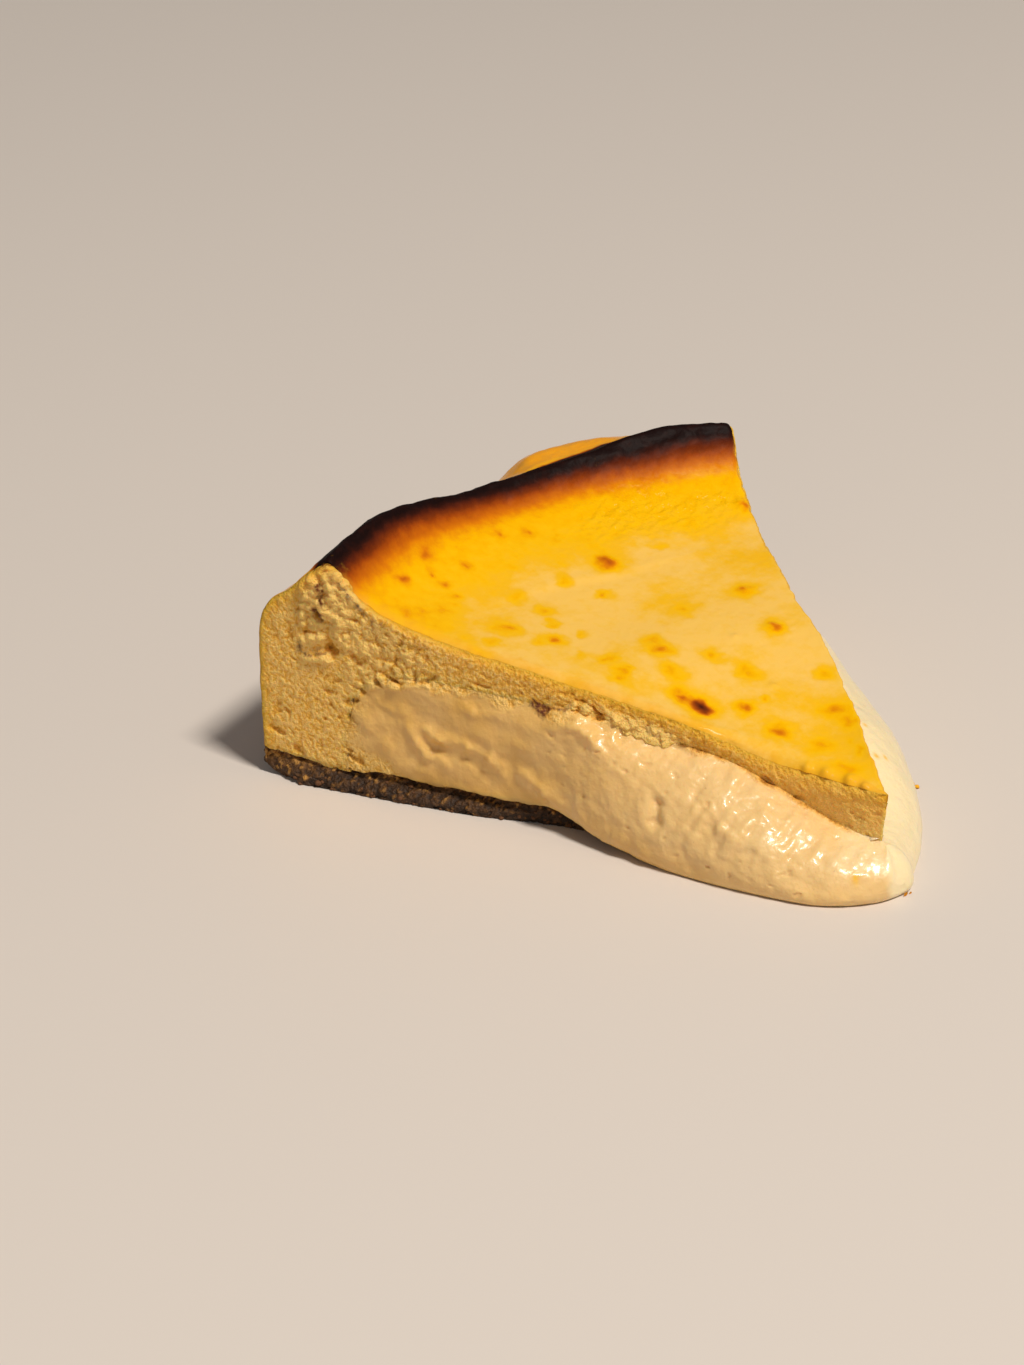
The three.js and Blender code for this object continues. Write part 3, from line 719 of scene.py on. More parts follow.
def baked_skin():
    """The skin with its wrinkles, blisters and scorched places."""
    values, triangles = skin_surface()
    points = values[:, :3].copy()
    normals = normals_of(points, triangles)
    outer = values[:, DEPTH] < 1
    relief = skin_relief(values) * (1 - by_the_cut(values, 0.7, 0.7))
    points += normals * np.where(outer, relief, 0)[:, None]
    attributes = {
        "browning": np.clip(browning_of(values), 0, 1),
        "wall": smoothstep(values[:, R], 107.6, 110),
        "crinkle": crinkled(values),
        "opened": np.where(outer, by_the_cut(values, 3.0, 0.6) * faded_at(values), 1),
    }
    return piece_of("baked_custard_skin", points, triangles, attributes, skin_material())


# The molten centre. Each place has x, y, z, r, its side and its share of the way down.

SIDE, DOWN = 4, 5


def way_round(radius, cut_steps, nose_steps, rim_steps, spread):
    """Stops on the way round a piece in plan, from the rim end of the front cut to the tip, round
    it, and back along the back cut and the rim: side, r, share, point and the way out."""
    inward = radius * spread(1 - np.linspace(0, 1, cut_steps + 1)[:-1])
    ahead = np.linspace(0, 1, nose_steps + 1)
    turn = mix(np.pi + HALF_ANGLE, 2 * np.pi - HALF_ANGLE, ahead)
    rim = mix(-HALF_ANGLE, HALF_ANGLE, np.linspace(0, 1, rim_steps + 1))[1:-1]
    side = np.repeat([FRONT, NOSE, BACK, RIM], [len(inward), len(ahead), len(inward), len(rim)])
    r = np.concatenate([inward, 0 * ahead, inward[::-1], 0 * rim + radius])
    share = np.concatenate([0 * inward, ahead, 0 * inward + 1, 0 * rim])
    angle = np.concatenate([0 * inward + HALF_ANGLE, 0 * ahead, 0 * inward - HALF_ANGLE, rim])
    out = np.concatenate([
        np.tile(FRONT_OUT, (len(inward), 1)),
        np.stack([np.cos(turn), np.sin(turn)], -1),
        np.tile(BACK_OUT, (len(inward), 1)),
        np.stack([-np.sin(rim), np.cos(rim)], -1),
    ])
    return side, r, share, placed(r, angle), out


def run_out(side, r, share):
    """Where the run-out starts behind the cut and reaches to, the heights of its upper edge and
    its foot, and how far its upper edge leans back at the tip."""
    front, back, rim = side == FRONT, side == BACK, side == RIM
    cuts = mix(front_reach(0), back_reach(0), share)
    nose = mix(cuts, NOSE_REACH, np.sin(np.pi * share))
    settled = 0.5 * smoothstep(r, 86, 100.5) + 0.75 * smoothstep(r, MOLTEN_RADIUS, MOLTEN_RIM)
    reaches = [front_reach(r) - settled, back_reach(r) - settled, -settled]
    reach = np.select([front, back, rim], reaches, nose)
    foot = np.select([front, back, rim], [front_foot(r), back_foot(r), FLOOR + 0 * r], 0 * r)
    return -hollow_at(r), reach, ceiling(r), np.clip(foot, 0, FLOOR), np.where(rim, 0, tip_hollow_at(r))


def molten_surface():
    """At each stop of the way round, a line runs from the middle of the ceiling to its edge, down
    the side, round its foot by a quarter turn, and in to the base. Where the side swells out it goes
    down by a quarter turn too, and elsewhere it comes out of the custard's face at a low slope. A
    small fillet, which falls off as exp(-distance), leads up to the custard."""
    count = MOLTEN_STEPS
    side, r, share, point, out = way_round(
        MOLTEN_RIM, count["cut"], count["nose"], count["rim"], lambda u: u * (1.4 - 0.4 * u)
    )
    start, reach, top, foot, lean = run_out(side, r, share)
    flat = np.where(side == FRONT, smoothstep(r, 45, 64), smoothstep(r, 70, 88))
    start, top = start - 0.4, top + 1.2
    middle = 60.0
    waist = foot + 0.2 * (top - foot)
    curl = np.minimum(1.4, 0.25 * np.abs(reach))
    slope = mix(2.8, 6, smoothstep(r, 56, 66) * (1 - smoothstep(r, 74, 92)))
    lines = []

    def add_line(distance, z, leaning, down):
        plan = point + out * np.broadcast_to(distance, r.shape)[:, None]
        plan = plan + np.stack([0 * r, lean * leaning], -1)
        lines.append(np.stack([plan[:, 0], plan[:, 1], z + 0 * r, r, side, down + 0 * r], -1))

    def add_inside(edge, part, height):
        x, y = edge[:, 0] * part, mix(middle, edge[:, 1], part)
        lines.append(np.stack([x, y, height(np.hypot(x, y)), r, side, 0 * r - 1], -1))

    edge = point + out * start[:, None]
    for part in (0.3, 0.65, 0.9):
        add_inside(edge, part, lambda far: ceiling(far) + SUNK)
    add_line(start - 1.4, top + 0.6, 1, -1)
    for w in np.linspace(0, 1, count["side"] + 1):
        turn = w * np.pi / 2
        out_share = mix(np.sin(turn), smoothstep(w * (top - waist), -0.8, slope), flat)
        fillet = 0.9 * (1 - flat) * np.exp(-(reach - start) * out_share / 0.9)
        z = mix(waist, top, mix(np.cos(turn) ** 1.1, 1 - w, flat)) + fillet
        add_line(mix(start, reach, out_share), z, 1 - w, w)
    for w in np.linspace(0, 1, count["curl"] + 1)[1:]:
        turn = w * np.pi / 2
        add_line(reach - curl * (1 - np.cos(turn)), mix(waist, foot, np.sin(turn)), 0, 1 + w)
    on_base = foot > FLOOR - 0.05
    add_line(np.where(on_base, start - 0.6, 0.5), np.where(on_base, foot - SUNK, foot), 0, 3)
    add_line(np.where(on_base, start - 1.2, 0.5), FLOOR - SUNK + 0 * r, 0, 3)
    for part in (0.9, 0.6):
        add_inside(edge, part, lambda far: FLOOR - SUNK + 0 * far)
    rows = np.array(lines)[::-1]
    rows = np.concatenate([rows, rows[:, :1]], 1)
    return welded([sheet_of(rows), *poles(rows, middle, ceiling(middle) + SUNK, FLOOR - SUNK)])


def poles(rows, middle, top, bottom):
    """Fans that close a ring of lines at its upper and its lower end, at x 0 and y middle."""
    rest = list(rows[0, 0, 3:])
    upper = fan_of([0, middle, top, *rest], rows[-1])
    lower = fan_of([0, middle, bottom, *rest], rows[0, ::-1])
    return upper, lower


# Folds of the flow on the front cut, its lip, a dimple and small pits, as strokes over r, z
FLOWS = [
    (85.9, 15.6, 83.0, 13.9, 1.0, 0.5), (83.0, 13.9, 77.2, 13.8, 1.0, 0.45),
    (77.2, 13.8, 73.0, 12.1, 1.0, 0.5), (73.0, 12.1, 70.9, 9.7, 1.1, 0.5),
    (86.2, 13.6, 83.5, 11.7, 1.1, -0.35), (83.5, 11.7, 78.0, 11.2, 1.1, -0.3),
    (78.0, 11.2, 73.4, 8.4, 1.1, -0.35), (89.3, 15.0, 87.5, 12.7, 1.1, 0.4),
    (87.5, 12.7, 85.4, 10.4, 1.1, 0.45), (85.4, 10.4, 82.1, 9.4, 1.2, 0.4),
    (67.2, 10.2, 61.9, 8.2, 1.3, 0.5), (61.9, 8.2, 59.0, 6.8, 1.3, 0.45),
    (68.0, 8.2, 62.5, 6.0, 1.2, -0.35), (98.0, 15.0, 97.4, 14.2, 1.5, 0.5),
    (93.6, 11.4, 92.8, 10.2, 1.6, 0.45), (78.2, 20.8, 77.4, 20.4, 1.2, 0.3),
    (76.8, 20.4, 71.5, 20.6, 1.0, 0.3), (91.9, 7.0, 85.1, 7.3, 1.2, 0.4),
    (95.0, 18.2, 90.0, 17.6, 1.2, 0.35), (70.0, 16.5, 65.0, 15.0, 1.5, 0.3),
    (61.1, 23.0, 56.8, 22.4, 1.0, 0.5), (56.8, 22.4, 53.4, 20.4, 1.0, 0.6),
    (53.4, 20.4, 51.4, 18.4, 1.0, 0.5), (39.6, 9.2, 39.7, 12.2, 1.2, -1.2),
    (42.6, 8.2, 42.4, 12.0, 1.6, 0.2), (48.8, 20.9, 48.2, 20.6, 0.6, -0.6),
    (61.8, 19.8, 61.5, 19.4, 0.5, -0.4), (15.0, 5.6, 10.0, 4.0, 1.6, -0.4),
    (33.0, 14.6, 31.0, 13.6, 1.2, -0.4), (27.0, 10.0, 24.0, 9.4, 1.3, 0.4),
    (21.0, 12.0, 18.0, 11.0, 1.2, 0.4),
]
# Where the sharp ridge runs down the run-out at the tip, as its direction from the tip in degrees
RIDGE = {"direction": 231, "width": 15, "height": 0.65}
# Bits of skin that stick to the run-out, as x, y and radius
FLECKS = [(14.9, 17.4, 0.5), (16.8, 17.0, 0.4), (18.6, 24.0, 0.4), (-8.4, -1.2, 0.5)]


def molten_relief(values, porous):
    """The height of the run-out's relief: broad lumps, sagging folds that lean down towards the
    tip, thick curdled cream where it runs out, a ridge at the tip, and crumb where it is set."""
    places, r, z, side = values[:, :3], values[:, R], values[:, 2], values[:, SIDE]
    flowing = 1 - smoothstep(r, 50, 70)
    front = np.where(side == FRONT, 1, 0.3)
    lumps = mix(0.25, 0.5, flowing) * layered(places, 10, 2, 71)
    cream = front * mix(0.14, 0.36, flowing) * layered(places, 4.2, 3, 73)
    curdled = front * mix(0.02, 0.18, flowing) * layered(places, 1.6, 2, 75)
    pits = smoothstep(layered(places, 1.7, 2, 87), 0.42, 0.62)
    curdled = curdled - (side == FRONT) * flowing * 0.35 * pits
    slope = np.stack([(r + 1.5 * z) / 11, (z - 0.5 * r) / 4.2, side], -1)
    slope = slope + 0.35 * layered(places, 8, 2, 77)[:, None]
    folds = (side == FRONT) * mix(0.32, 0.12, flowing) * noise(slope, 81)
    streak = np.stack([(r + 0.5 * z) / 1.3, (z - 0.5 * r) / 3.2, 0 * r], -1)
    glazed = (side == FRONT) * hump(r, 21, 15) * smoothstep(z, 4, 8)
    streaks = glazed * (0.42 * noise(streak, 83) + 0.3 * layered(places, 1.5, 2, 85))
    strokes = np.where(side == FRONT, strokes_at(places, r, z, FLOWS), 0)
    direction = np.degrees(np.arctan2(places[:, 1], places[:, 0])) % 360
    ridge = RIDGE["height"] * hump(direction, RIDGE["direction"], RIDGE["width"])
    ridge = np.where(side == NOSE, ridge, 0) * smoothstep(z, 1, 4) * (1 - smoothstep(z, 5, 10))
    soft = lumps + cream + curdled + folds + streaks + strokes + ridge
    crumb = np.where(side == FRONT, front_relief(places, r, z), crumb_relief(places, 0.25 + 0 * r))
    return mix(soft, crumb, porous)


def porous_at(places, r, side):
    """Where the molten centre has set and shows crumb like the custard's: towards the rim, further
    in near the base, and in a ragged strip under the roof."""
    z = places[:, 2]
    from_rim = mix(91, 99.5, smoothstep(z, 5, 10)) + 2.6 * layered(places, 3.6, 3, 91)
    below = ceiling(r) - z + 1.5 * layered(places, 4, 3, 93)
    strip = (1 - smoothstep(below, 0.4, 1.8)) * smoothstep(r, 50, 66) * (side != NOSE)
    return np.maximum(smoothstep(r - from_rim, -4, 3.2), np.maximum(strip, crumbly_at(places, r, side)))


def crumbly_at(places, r, side):
    """Where crumb from the front cut stays on the run-out: within 2 mm of the cut, raggedly."""
    out = places[:, :2] @ FRONT_OUT + hollow_at(r) + 1.2 * layered(places, 3.5, 3, 95)
    along = (1 - smoothstep(r, 58, 66)) * smoothstep(r, 3, 9)
    return (side == FRONT) * (1 - smoothstep(out, 0.4, 2.0)) * along


def hanging(places, r):
    """How far the custard's lower edge hangs down in front of the base, unevenly."""
    uneven = 0.55 + 0.8 * layered(places * [1, 1, 0], 4.5, 3, 161)
    return np.clip(uneven, 0, 1.2) * (1 - smoothstep(places[:, 2], 4.3, 7.2)) * smoothstep(r, 60, 66)


def molten_centre():
    """The molten centre with its folds and lumps. It grows paler from the inner end of the front
    cut to the tip and round it to the back, partly its own colour and partly painted light and shade:
    the front, which lies in shade, is painted a deeper yellow, the lit back paler, and the foot darker."""
    values, triangles = molten_surface()
    points = values[:, :3].copy()
    normals = normals_of(points, triangles)
    r, z, side, down = values[:, R], values[:, 2], values[:, SIDE], values[:, DOWN]
    porous = porous_at(points, r, side)
    seen = (down >= 0) & (down < 2)
    relief = molten_relief(values, porous) * smoothstep(z, 0, 2.5)
    points += normals * np.where(seen, relief, 0)[:, None]
    points[:, 2] -= np.where(seen, hanging(values[:, :3], r), 0)
    points[:, 2] = np.maximum(points[:, 2], 0)
    direction = np.degrees(np.arctan2(points[:, 1], points[:, 0])) % 360
    # Painted light and shade on the cream: low darkens it towards its foot, a painted shade; the front,
    # in shade, is given a deeper yellow, partly also cream cooked longer, and past the tip's ridge the
    # lit side and the back are painted paler
    low = 0.25 * (1 - smoothstep(z, 1, 9))
    at_front = mix(0.66, 0.5, smoothstep(r, 0, 14)) * (1 - smoothstep(r, 15, 75)) - low
    turned = smoothstep(direction, RIDGE["direction"] - 15, RIDGE["direction"] + 30)
    at_tip = mix(0.66 - low, 1, turned)
    paler = np.select([side == FRONT, side == NOSE], [at_front, at_tip], 1.0)
    flecks = [hump(np.linalg.norm(points[:, :2] - fleck[:2], axis=1), 0, fleck[2]) for fleck in FLECKS]
    attributes = {
        "porous": porous,
        "paler": paler,
        # high follows the relief, painted shade in hollows and painted light on lumps where it shows
        # crumb, and is painted darker on crumb left from the front cut, a painted shade
        "high": 0.5 + 0.55 * relief - 0.2 * crumbly_at(points, r, side),
        "fleck": np.max(flecks, axis=0),
        "char": np.where(side == FRONT, np.clip(strokes_at(values[:, :3], r, z, CHAR_BITS), 0, 1), 0),
    }
    return piece_of("molten_centre_flow", points, triangles, attributes, molten_material())


# The biscuit base. Each place has x, y, z, r, its side and its share of the way down.


def base_surface():
    """A slab, thicker under the rim, whose lower outer edge is rounded off by 4 mm. Under the cuts
    it starts a little behind the custard and spreads out towards its foot."""
    count = BASE_STEPS
    side, r, _, point, out = way_round(BASE_RADIUS, count["cut"], 1, count["rim"], lambda u: u)
    middle, rounding = 70.0, 4.0
    rim = side == RIM
    near_rim = np.where(rim, 1, smoothstep(r, BASE_RADIUS - 12, BASE_RADIUS))
    spread = smoothstep(r, 58, 80) * (1 - smoothstep(r, 111, 117))
    foot_out = np.select([rim, side == FRONT], [-0.4 + 0 * r, -0.4 + 2.2 * spread], -0.4 + 1.2 * spread)
    top_out = np.where(rim, -0.4, -1.0)
    height = base_top(r)
    lines = []
    for part in (0.45, 0.66, 0.84):
        x, y = point[:, 0] * part, mix(middle, point[:, 1], part)
        lines.append(np.stack([x, y, base_top(np.hypot(x, y)), r, side, 0 * r - 1], -1))
    for w in np.linspace(0, 1, count["side"] + 1):
        rounded = rounding * near_rim * (2 * max(0, w - 0.5)) ** 2
        outward = mix(top_out, foot_out, smoothstep(w, 0.1, 0.8))
        plan = (point + outward[:, None] * out) * (1 - rounded / BASE_RADIUS)[:, None]
        lines.append(np.stack([plan[:, 0], plan[:, 1], height * (1 - w), r, side, 0 * r + w], -1))
    plan = lines[-1][:, :2] * 0.6 + [0, 0.4 * middle]
    lines.append(np.stack([plan[:, 0], plan[:, 1], 0 * r, r, side, 0 * r - 1], -1))
    rows = np.array(lines)[::-1]
    rows = np.concatenate([rows, rows[:, :1]], 1)
    return welded([sheet_of(rows), *poles(rows, middle, BASE_HEIGHT, 0)])


def biscuit_relief(places):
    """The height of pressed biscuit crumb, with crumbs of 1.4 and 0.7 mm, and how light each crumb
    is, from 0 to 1. It is lighter above, where custard has soaked in, few crumbs are light, and it is
    darker where the crumb lies low, a painted shade in its gaps."""
    near, _, own = curds(places, 1.4, 101)
    fine_near, _, fine_own = curds(places, 0.7, 121)
    height = 0.4 * (own - 0.5) - 0.2 * near**2 + 0.2 * (fine_own - 0.5) - 0.15 * fine_near**2
    height = height + 0.35 * layered(places, 5, 2, 131) + 0.15
    soaked = 0.3 * smoothstep(places[:, 2] + layered(places, 4, 2, 137), 1.8, 4.2)
    # The tone follows the height: painted shade in the gaps between crumbs
    return height, np.clip(0.2 * own**2 + 0.5 * fine_own**5 + 0.25 * height + soaked, 0, 1)


def biscuit_base():
    """The base with its crumbs, and the places on its sides where loose crumbs may sit."""
    values, triangles = base_surface()
    points = values[:, :3].copy()
    normals = normals_of(points, triangles)
    down, r = values[:, DOWN], values[:, R]
    bare = np.where(values[:, SIDE] == RIM, 1, smoothstep(r, 36, 50))
    height, tone = biscuit_relief(points)
    points += normals * np.where(down >= 0, np.clip(height, -1.2, 0.7) * bare, 0)[:, None]
    points[:, 2] = np.clip(points[:, 2], 0, base_top(r) - 0.1)
    attributes = {"tone": tone, "golden": 0.7 * smoothstep(r, 108, 119)}
    piece = piece_of("biscuit_base_crumb", points, triangles, attributes, biscuit_material())
    loose = (down > 0.15) & (down <= 1) & (bare > 0.9)
    return piece, np.concatenate([points, normals, values[:, 3:4]], 1)[loose]


# Crumbs


def crumbs_of(name, centres, radii, attributes, material):
    """Small uneven crumbs in one piece. Each is a ball of 80 faces, flattened a little, whose
    places are drawn in and out by noise."""
    ball = bmesh.new()
    bmesh.ops.create_icosphere(ball, subdivisions=2, radius=1)
    corners = np.array([vertex.co for vertex in ball.verts])
    faces = np.array([[vertex.index for vertex in face.verts] for face in ball.faces])
    ball.free()
    count, size = len(centres), len(corners)
    uneven = 1 + 0.3 * noise(1.4 * corners[None] + 5.3 * np.arange(count)[:, None, None], 171)
    shape = corners[None] * uneven[..., None] * [1, 1, 0.8] * np.asarray(radii)[:, None, None]
    points = (np.asarray(centres)[:, None] + shape).reshape(-1, 3)
    points[:, 2] = np.maximum(points[:, 2], 0.02)
    triangles = (faces[None] + size * np.arange(count)[:, None, None]).reshape(-1, 3)
    spread = {
        label: np.repeat(np.broadcast_to(value, count), size)
        for label, value in attributes.items()
    }
    return piece_of(name, points, triangles, spread, material)


def drawn(count, salt):
    """A fixed number from 0 to 1 for each of so many things."""
    return scattered(np.stack([np.arange(count)] * 3, -1), salt)


def base_crumbs(places):
    """Crumbs that stand out of the base's sides, sunk in them by part of their size, more of them
    towards the foot."""
    chance = drawn(len(places), 181)
    chosen = places[chance < mix(0.003, 0.014, 1 - smoothstep(places[:, 2], 0, 2.5))]
    radii = mix(0.25, 0.6, drawn(len(chosen), 191) ** 2)
    centres = chosen[:, :3] - 0.2 * radii[:, None] * chosen[:, 3:6]
    centres[:, 2] = np.maximum(centres[:, 2], 0.6 * radii)
    tone = np.clip(0.1 + 0.6 * drawn(len(chosen), 193), 0, 1)
    attributes = {"tone": tone, "golden": 0.7 * smoothstep(chosen[:, 6], 108, 119)}
    return crumbs_of("biscuit_crumbs", centres, radii, attributes, bpy.data.materials["biscuit_crumb"])


# Crumbs of skin that lie against the foot of the run-out, by x, y, z and radius
LOOSE_CRUMBS = [
    (0.6, -6.0, 0.35, 0.5), (1.8, -6.3, 0.2, 0.3), (31.4, 22.6, 0.35, 0.5), (31.9, 24.0, 0.2, 0.3),
]


def custard_crumbs():
    """The loose crumbs of skin by the run-out."""
    places = np.array(LOOSE_CRUMBS)
    attributes = {"browning": 0.3, "wall": 0.0, "crinkle": 0.2, "opened": 1.2}
    material = bpy.data.materials["baked_skin"]
    return crumbs_of("custard_crumbs", places[:, :3], places[:, 3], attributes, material)


# Materials

# The skin's colours over how far it is baked, on the top and on the side that stood in the tin
SKIN_COLOURS = [
    (0.0, "#f2c35c"), (0.1, "#f1be44"), (0.2, "#f1b922"), (0.34, "#f4bb0a"), (0.44, "#f2b300"),
    (0.54, "#eaa002"), (0.63, "#d87d06"), (0.71, "#be620a"), (0.78, "#9c460b"), (0.84, "#74300c"),
    (0.9, "#56200c"), (0.95, "#2e120c"), (1.0, "#180a09"),
]
WALL_COLOURS = [(0.3, "#f2a420"), (0.5, "#d39835"), (0.6, "#bd7f2a"), (0.75, "#8a4f16"), (1.0, "#3a1c0c")]
# The cut custard's colours, from painted shade in its pits to painted light on the grains that
# stand out
CRUMB_COLOURS = [(0.5, "#a66b20"), (0.72, "#d99c3a"), (0.88, "#edb54e"), (1.0, "#f6ca74")]
# The molten custard's colours from the inner end of the front cut to the tip and the back: the
# deeper ones partly painted shade, the paler ones partly painted light
CREAM_COLOURS = [(0.0, "#dba849"), (0.2, "#e6b86a"), (0.4, "#f0c680"), (0.7, "#ecc88a"), (1.0, "#f8e4b6")]
# The biscuit's colours, from its gaps to its lightest crumbs
BISCUIT_COLOURS = [
    (0.15, "#221407"), (0.4, "#40270e"), (0.6, "#5b3b17"), (0.8, "#835b27"), (1.0, "#b6853e"),
]
# The custard close under the skin, the skin that a cut has opened, the flecks of skin on the
# run-out, and what is scorched
UNDER_SKIN = "#f0b030"
OPENED = "#edab30"
FLECK = "#f2bc2c"
SCORCHED = "#621f08"
# How many of a pattern's marks lie side by side in a metre: patches are 2.4 mm wide, grains 0.7 mm,
# swirls 8 mm, wrinkles 1.4 mm and biscuit grains 0.6 mm. Real grains are finer than that, but they
# would be too fine to show.
PATCHES = 420.0
GRAINS = 1500.0
SWIRLS = 130.0
WRINKLES = 700.0
BISCUIT_GRAINS = 1600.0


def linear(colour):
    """The linear colour of sRGB hex, with alpha."""
    channels = [int(colour[n : n + 2], 16) / 255 for n in (1, 3, 5)]
    return [c / 12.92 if c <= 0.04045 else ((c + 0.055) / 1.055) ** 2.4 for c in channels] + [1]


def add(tree, kind, inputs, stops=(), **settings):
    """Adds a node with its settings. An input is given a value or a link, and a ramp its stops."""
    made = tree.nodes.new(kind)
    for name, value in settings.items():
        setattr(made, name, value)
    for key, value in inputs.items():
        if isinstance(value, bpy.types.NodeSocket):
            tree.links.new(value, made.inputs[key])
        else:
            made.inputs[key].default_value = value
    for n, (position, colour) in enumerate(stops):
        elements = made.color_ramp.elements
        stop = elements[n] if n < len(elements) else elements.new(position)
        stop.position, stop.color = position, linear(colour)
    return made


def material_of(name, **finish):
    """A new material, its node tree and its shader with the finish set on its own sockets."""
    material = bpy.data.materials.new(name)
    material.use_nodes = True
    shader = material.node_tree.nodes["Principled BSDF"]
    for socket, value in finish.items():
        shader.inputs[socket.replace("_", " ")].default_value = value
    return material, material.node_tree, shader


def crumb_colour(tree, grain, high):
    """The cut custard's colour: a painted highlight where it stands high and painted shade where it
    lies low, and varied by its grain.
    """
    height = add(tree, "ShaderNodeMath", {0: grain, 1: 0.9, 2: high}, operation="MULTIPLY_ADD").outputs[0]
    return add(tree, "ShaderNodeValToRGB", {"Fac": height}, stops=CRUMB_COLOURS).outputs["Color"]


def scorched(tree, plain, grain, char):
    """A plain colour, turned to the scorched one grain by grain where there is char."""
    burn = add(tree, "ShaderNodeMath", {0: grain, 1: 1.6, 2: char}, operation="MULTIPLY_ADD").outputs[0]
    burned = add(tree, "ShaderNodeMapRange", {0: burn, 1: 1.1, 2: 1.9, 3: 0.0, 4: 0.95}).outputs[0]
    colours = {0: burned, 6: plain, 7: linear(SCORCHED)}
    return add(tree, "ShaderNodeMix", colours, data_type="RGBA").outputs[2]


def crumb_material():
    """Set custard: a moist, dull, even crumb, with painted light where it stands up and painted shade
    deeper in its pits. It is yellow under the skin, reaching deeper near the tip as painted light,
    and scorched in a few small places."""
    material, tree, shader = material_of(
        "custard_crumb", Roughness=0.55, IOR=1.38, Specular_IOR_Level=0.25,
        Subsurface_Weight=0.4, Subsurface_Scale=1.0, Subsurface_Radius=(0.0024, 0.0013, 0.0006),
    )
    place = add(tree, "ShaderNodeTexCoord", {}).outputs["Object"]
    depth, high, char = (
        add(tree, "ShaderNodeAttribute", {}, attribute_name=name).outputs["Fac"]
        for name in ("depth", "high", "char")
    )
    patches = {"Vector": place, "Scale": PATCHES, "Detail": 4.0}
    mottle = add(tree, "ShaderNodeTexNoise", patches).outputs["Fac"]
    grains = {"Vector": place, "Scale": GRAINS, "Detail": 3.0}
    grain = add(tree, "ShaderNodeTexNoise", grains).outputs["Fac"]
    edge = add(tree, "ShaderNodeMath", {0: mottle, 1: 3.0, 2: depth}, operation="MULTIPLY_ADD").outputs[0]
    under = add(tree, "ShaderNodeMapRange", {0: edge, 1: 1.6, 2: 4.8, 3: 0.9, 4: 0.0}).outputs[0]
    colours = {0: under, 6: crumb_colour(tree, grain, high), 7: linear(UNDER_SKIN)}
    yellowed = add(tree, "ShaderNodeMix", colours, data_type="RGBA").outputs[2]
    relief = {"Height": grain, "Strength": 1.0, "Distance": 0.0007}
    tree.links.new(scorched(tree, yellowed, grain, char), shader.inputs["Base Color"])
    tree.links.new(add(tree, "ShaderNodeBump", relief).outputs["Normal"], shader.inputs["Normal"])
    return material


def skin_material():
    """Baked skin: thin, dried and glossy, from butter yellow over amber and brown to a black glazed
    crest, and golden brown on the side. It is finely mottled and fades where a cut has opened it."""
    material, tree, shader = material_of(
        "baked_skin", IOR=1.4, Specular_IOR_Level=0.08,
        Subsurface_Weight=0.1, Subsurface_Scale=1.0, Subsurface_Radius=(0.002, 0.0013, 0.0006),
    )
    place = add(tree, "ShaderNodeTexCoord", {}).outputs["Object"]
    browning, wall, crinkle, opened = (
        add(tree, "ShaderNodeAttribute", {}, attribute_name=name).outputs["Fac"]
        for name in ("browning", "wall", "crinkle", "opened")
    )
    patches = {"Vector": place, "Scale": PATCHES, "Detail": 5.0, "Roughness": 0.62}
    mottle = add(tree, "ShaderNodeTexNoise", patches).outputs["Fac"]
    uneven = add(tree, "ShaderNodeMath", {0: mottle, 1: 0.5}, operation="SUBTRACT").outputs[0]
    amount = add(tree, "ShaderNodeMapRange", {0: browning, 1: 0.45, 2: 0.7, 3: 0.38, 4: 0.12}).outputs[0]
    mottled = {0: uneven, 1: amount, 2: browning}
    baked = add(tree, "ShaderNodeMath", mottled, operation="MULTIPLY_ADD").outputs[0]
    top = add(tree, "ShaderNodeValToRGB", {"Fac": baked}, stops=SKIN_COLOURS).outputs["Color"]
    side = add(tree, "ShaderNodeValToRGB", {"Fac": baked}, stops=WALL_COLOURS).outputs["Color"]
    skin = add(tree, "ShaderNodeMix", {0: wall, 6: top, 7: side}, data_type="RGBA").outputs[2]
    ragged = {0: mottle, 1: 1.2, 2: opened}
    fade = add(tree, "ShaderNodeMath", ragged, operation="MULTIPLY_ADD").outputs[0]
    faded = add(tree, "ShaderNodeMapRange", {0: fade, 1: 0.8, 2: 1.8, 3: 0.0, 4: 0.9}).outputs[0]
    colours = {0: faded, 6: skin, 7: linear(OPENED)}
    colour = add(tree, "ShaderNodeMix", colours, data_type="RGBA").outputs[2]
    rough = add(tree, "ShaderNodeMapRange", {0: baked, 1: 0.4, 2: 0.72, 3: 0.16, 4: 0.5}).outputs[0]
    wrinkles = {"Vector": place, "Scale": WRINKLES, "Detail": 3.0}
    wrinkle = add(tree, "ShaderNodeTexNoise", wrinkles).outputs["Fac"]
    height = add(tree, "ShaderNodeMix", {0: crinkle, 2: 0.5, 3: wrinkle}, data_type="FLOAT").outputs[0]
    relief = {"Height": height, "Strength": 1.0, "Distance": 0.0006}
    tree.links.new(colour, shader.inputs["Base Color"])
    tree.links.new(rough, shader.inputs["Roughness"])
    tree.links.new(add(tree, "ShaderNodeBump", relief).outputs["Normal"], shader.inputs["Normal"])
    return material


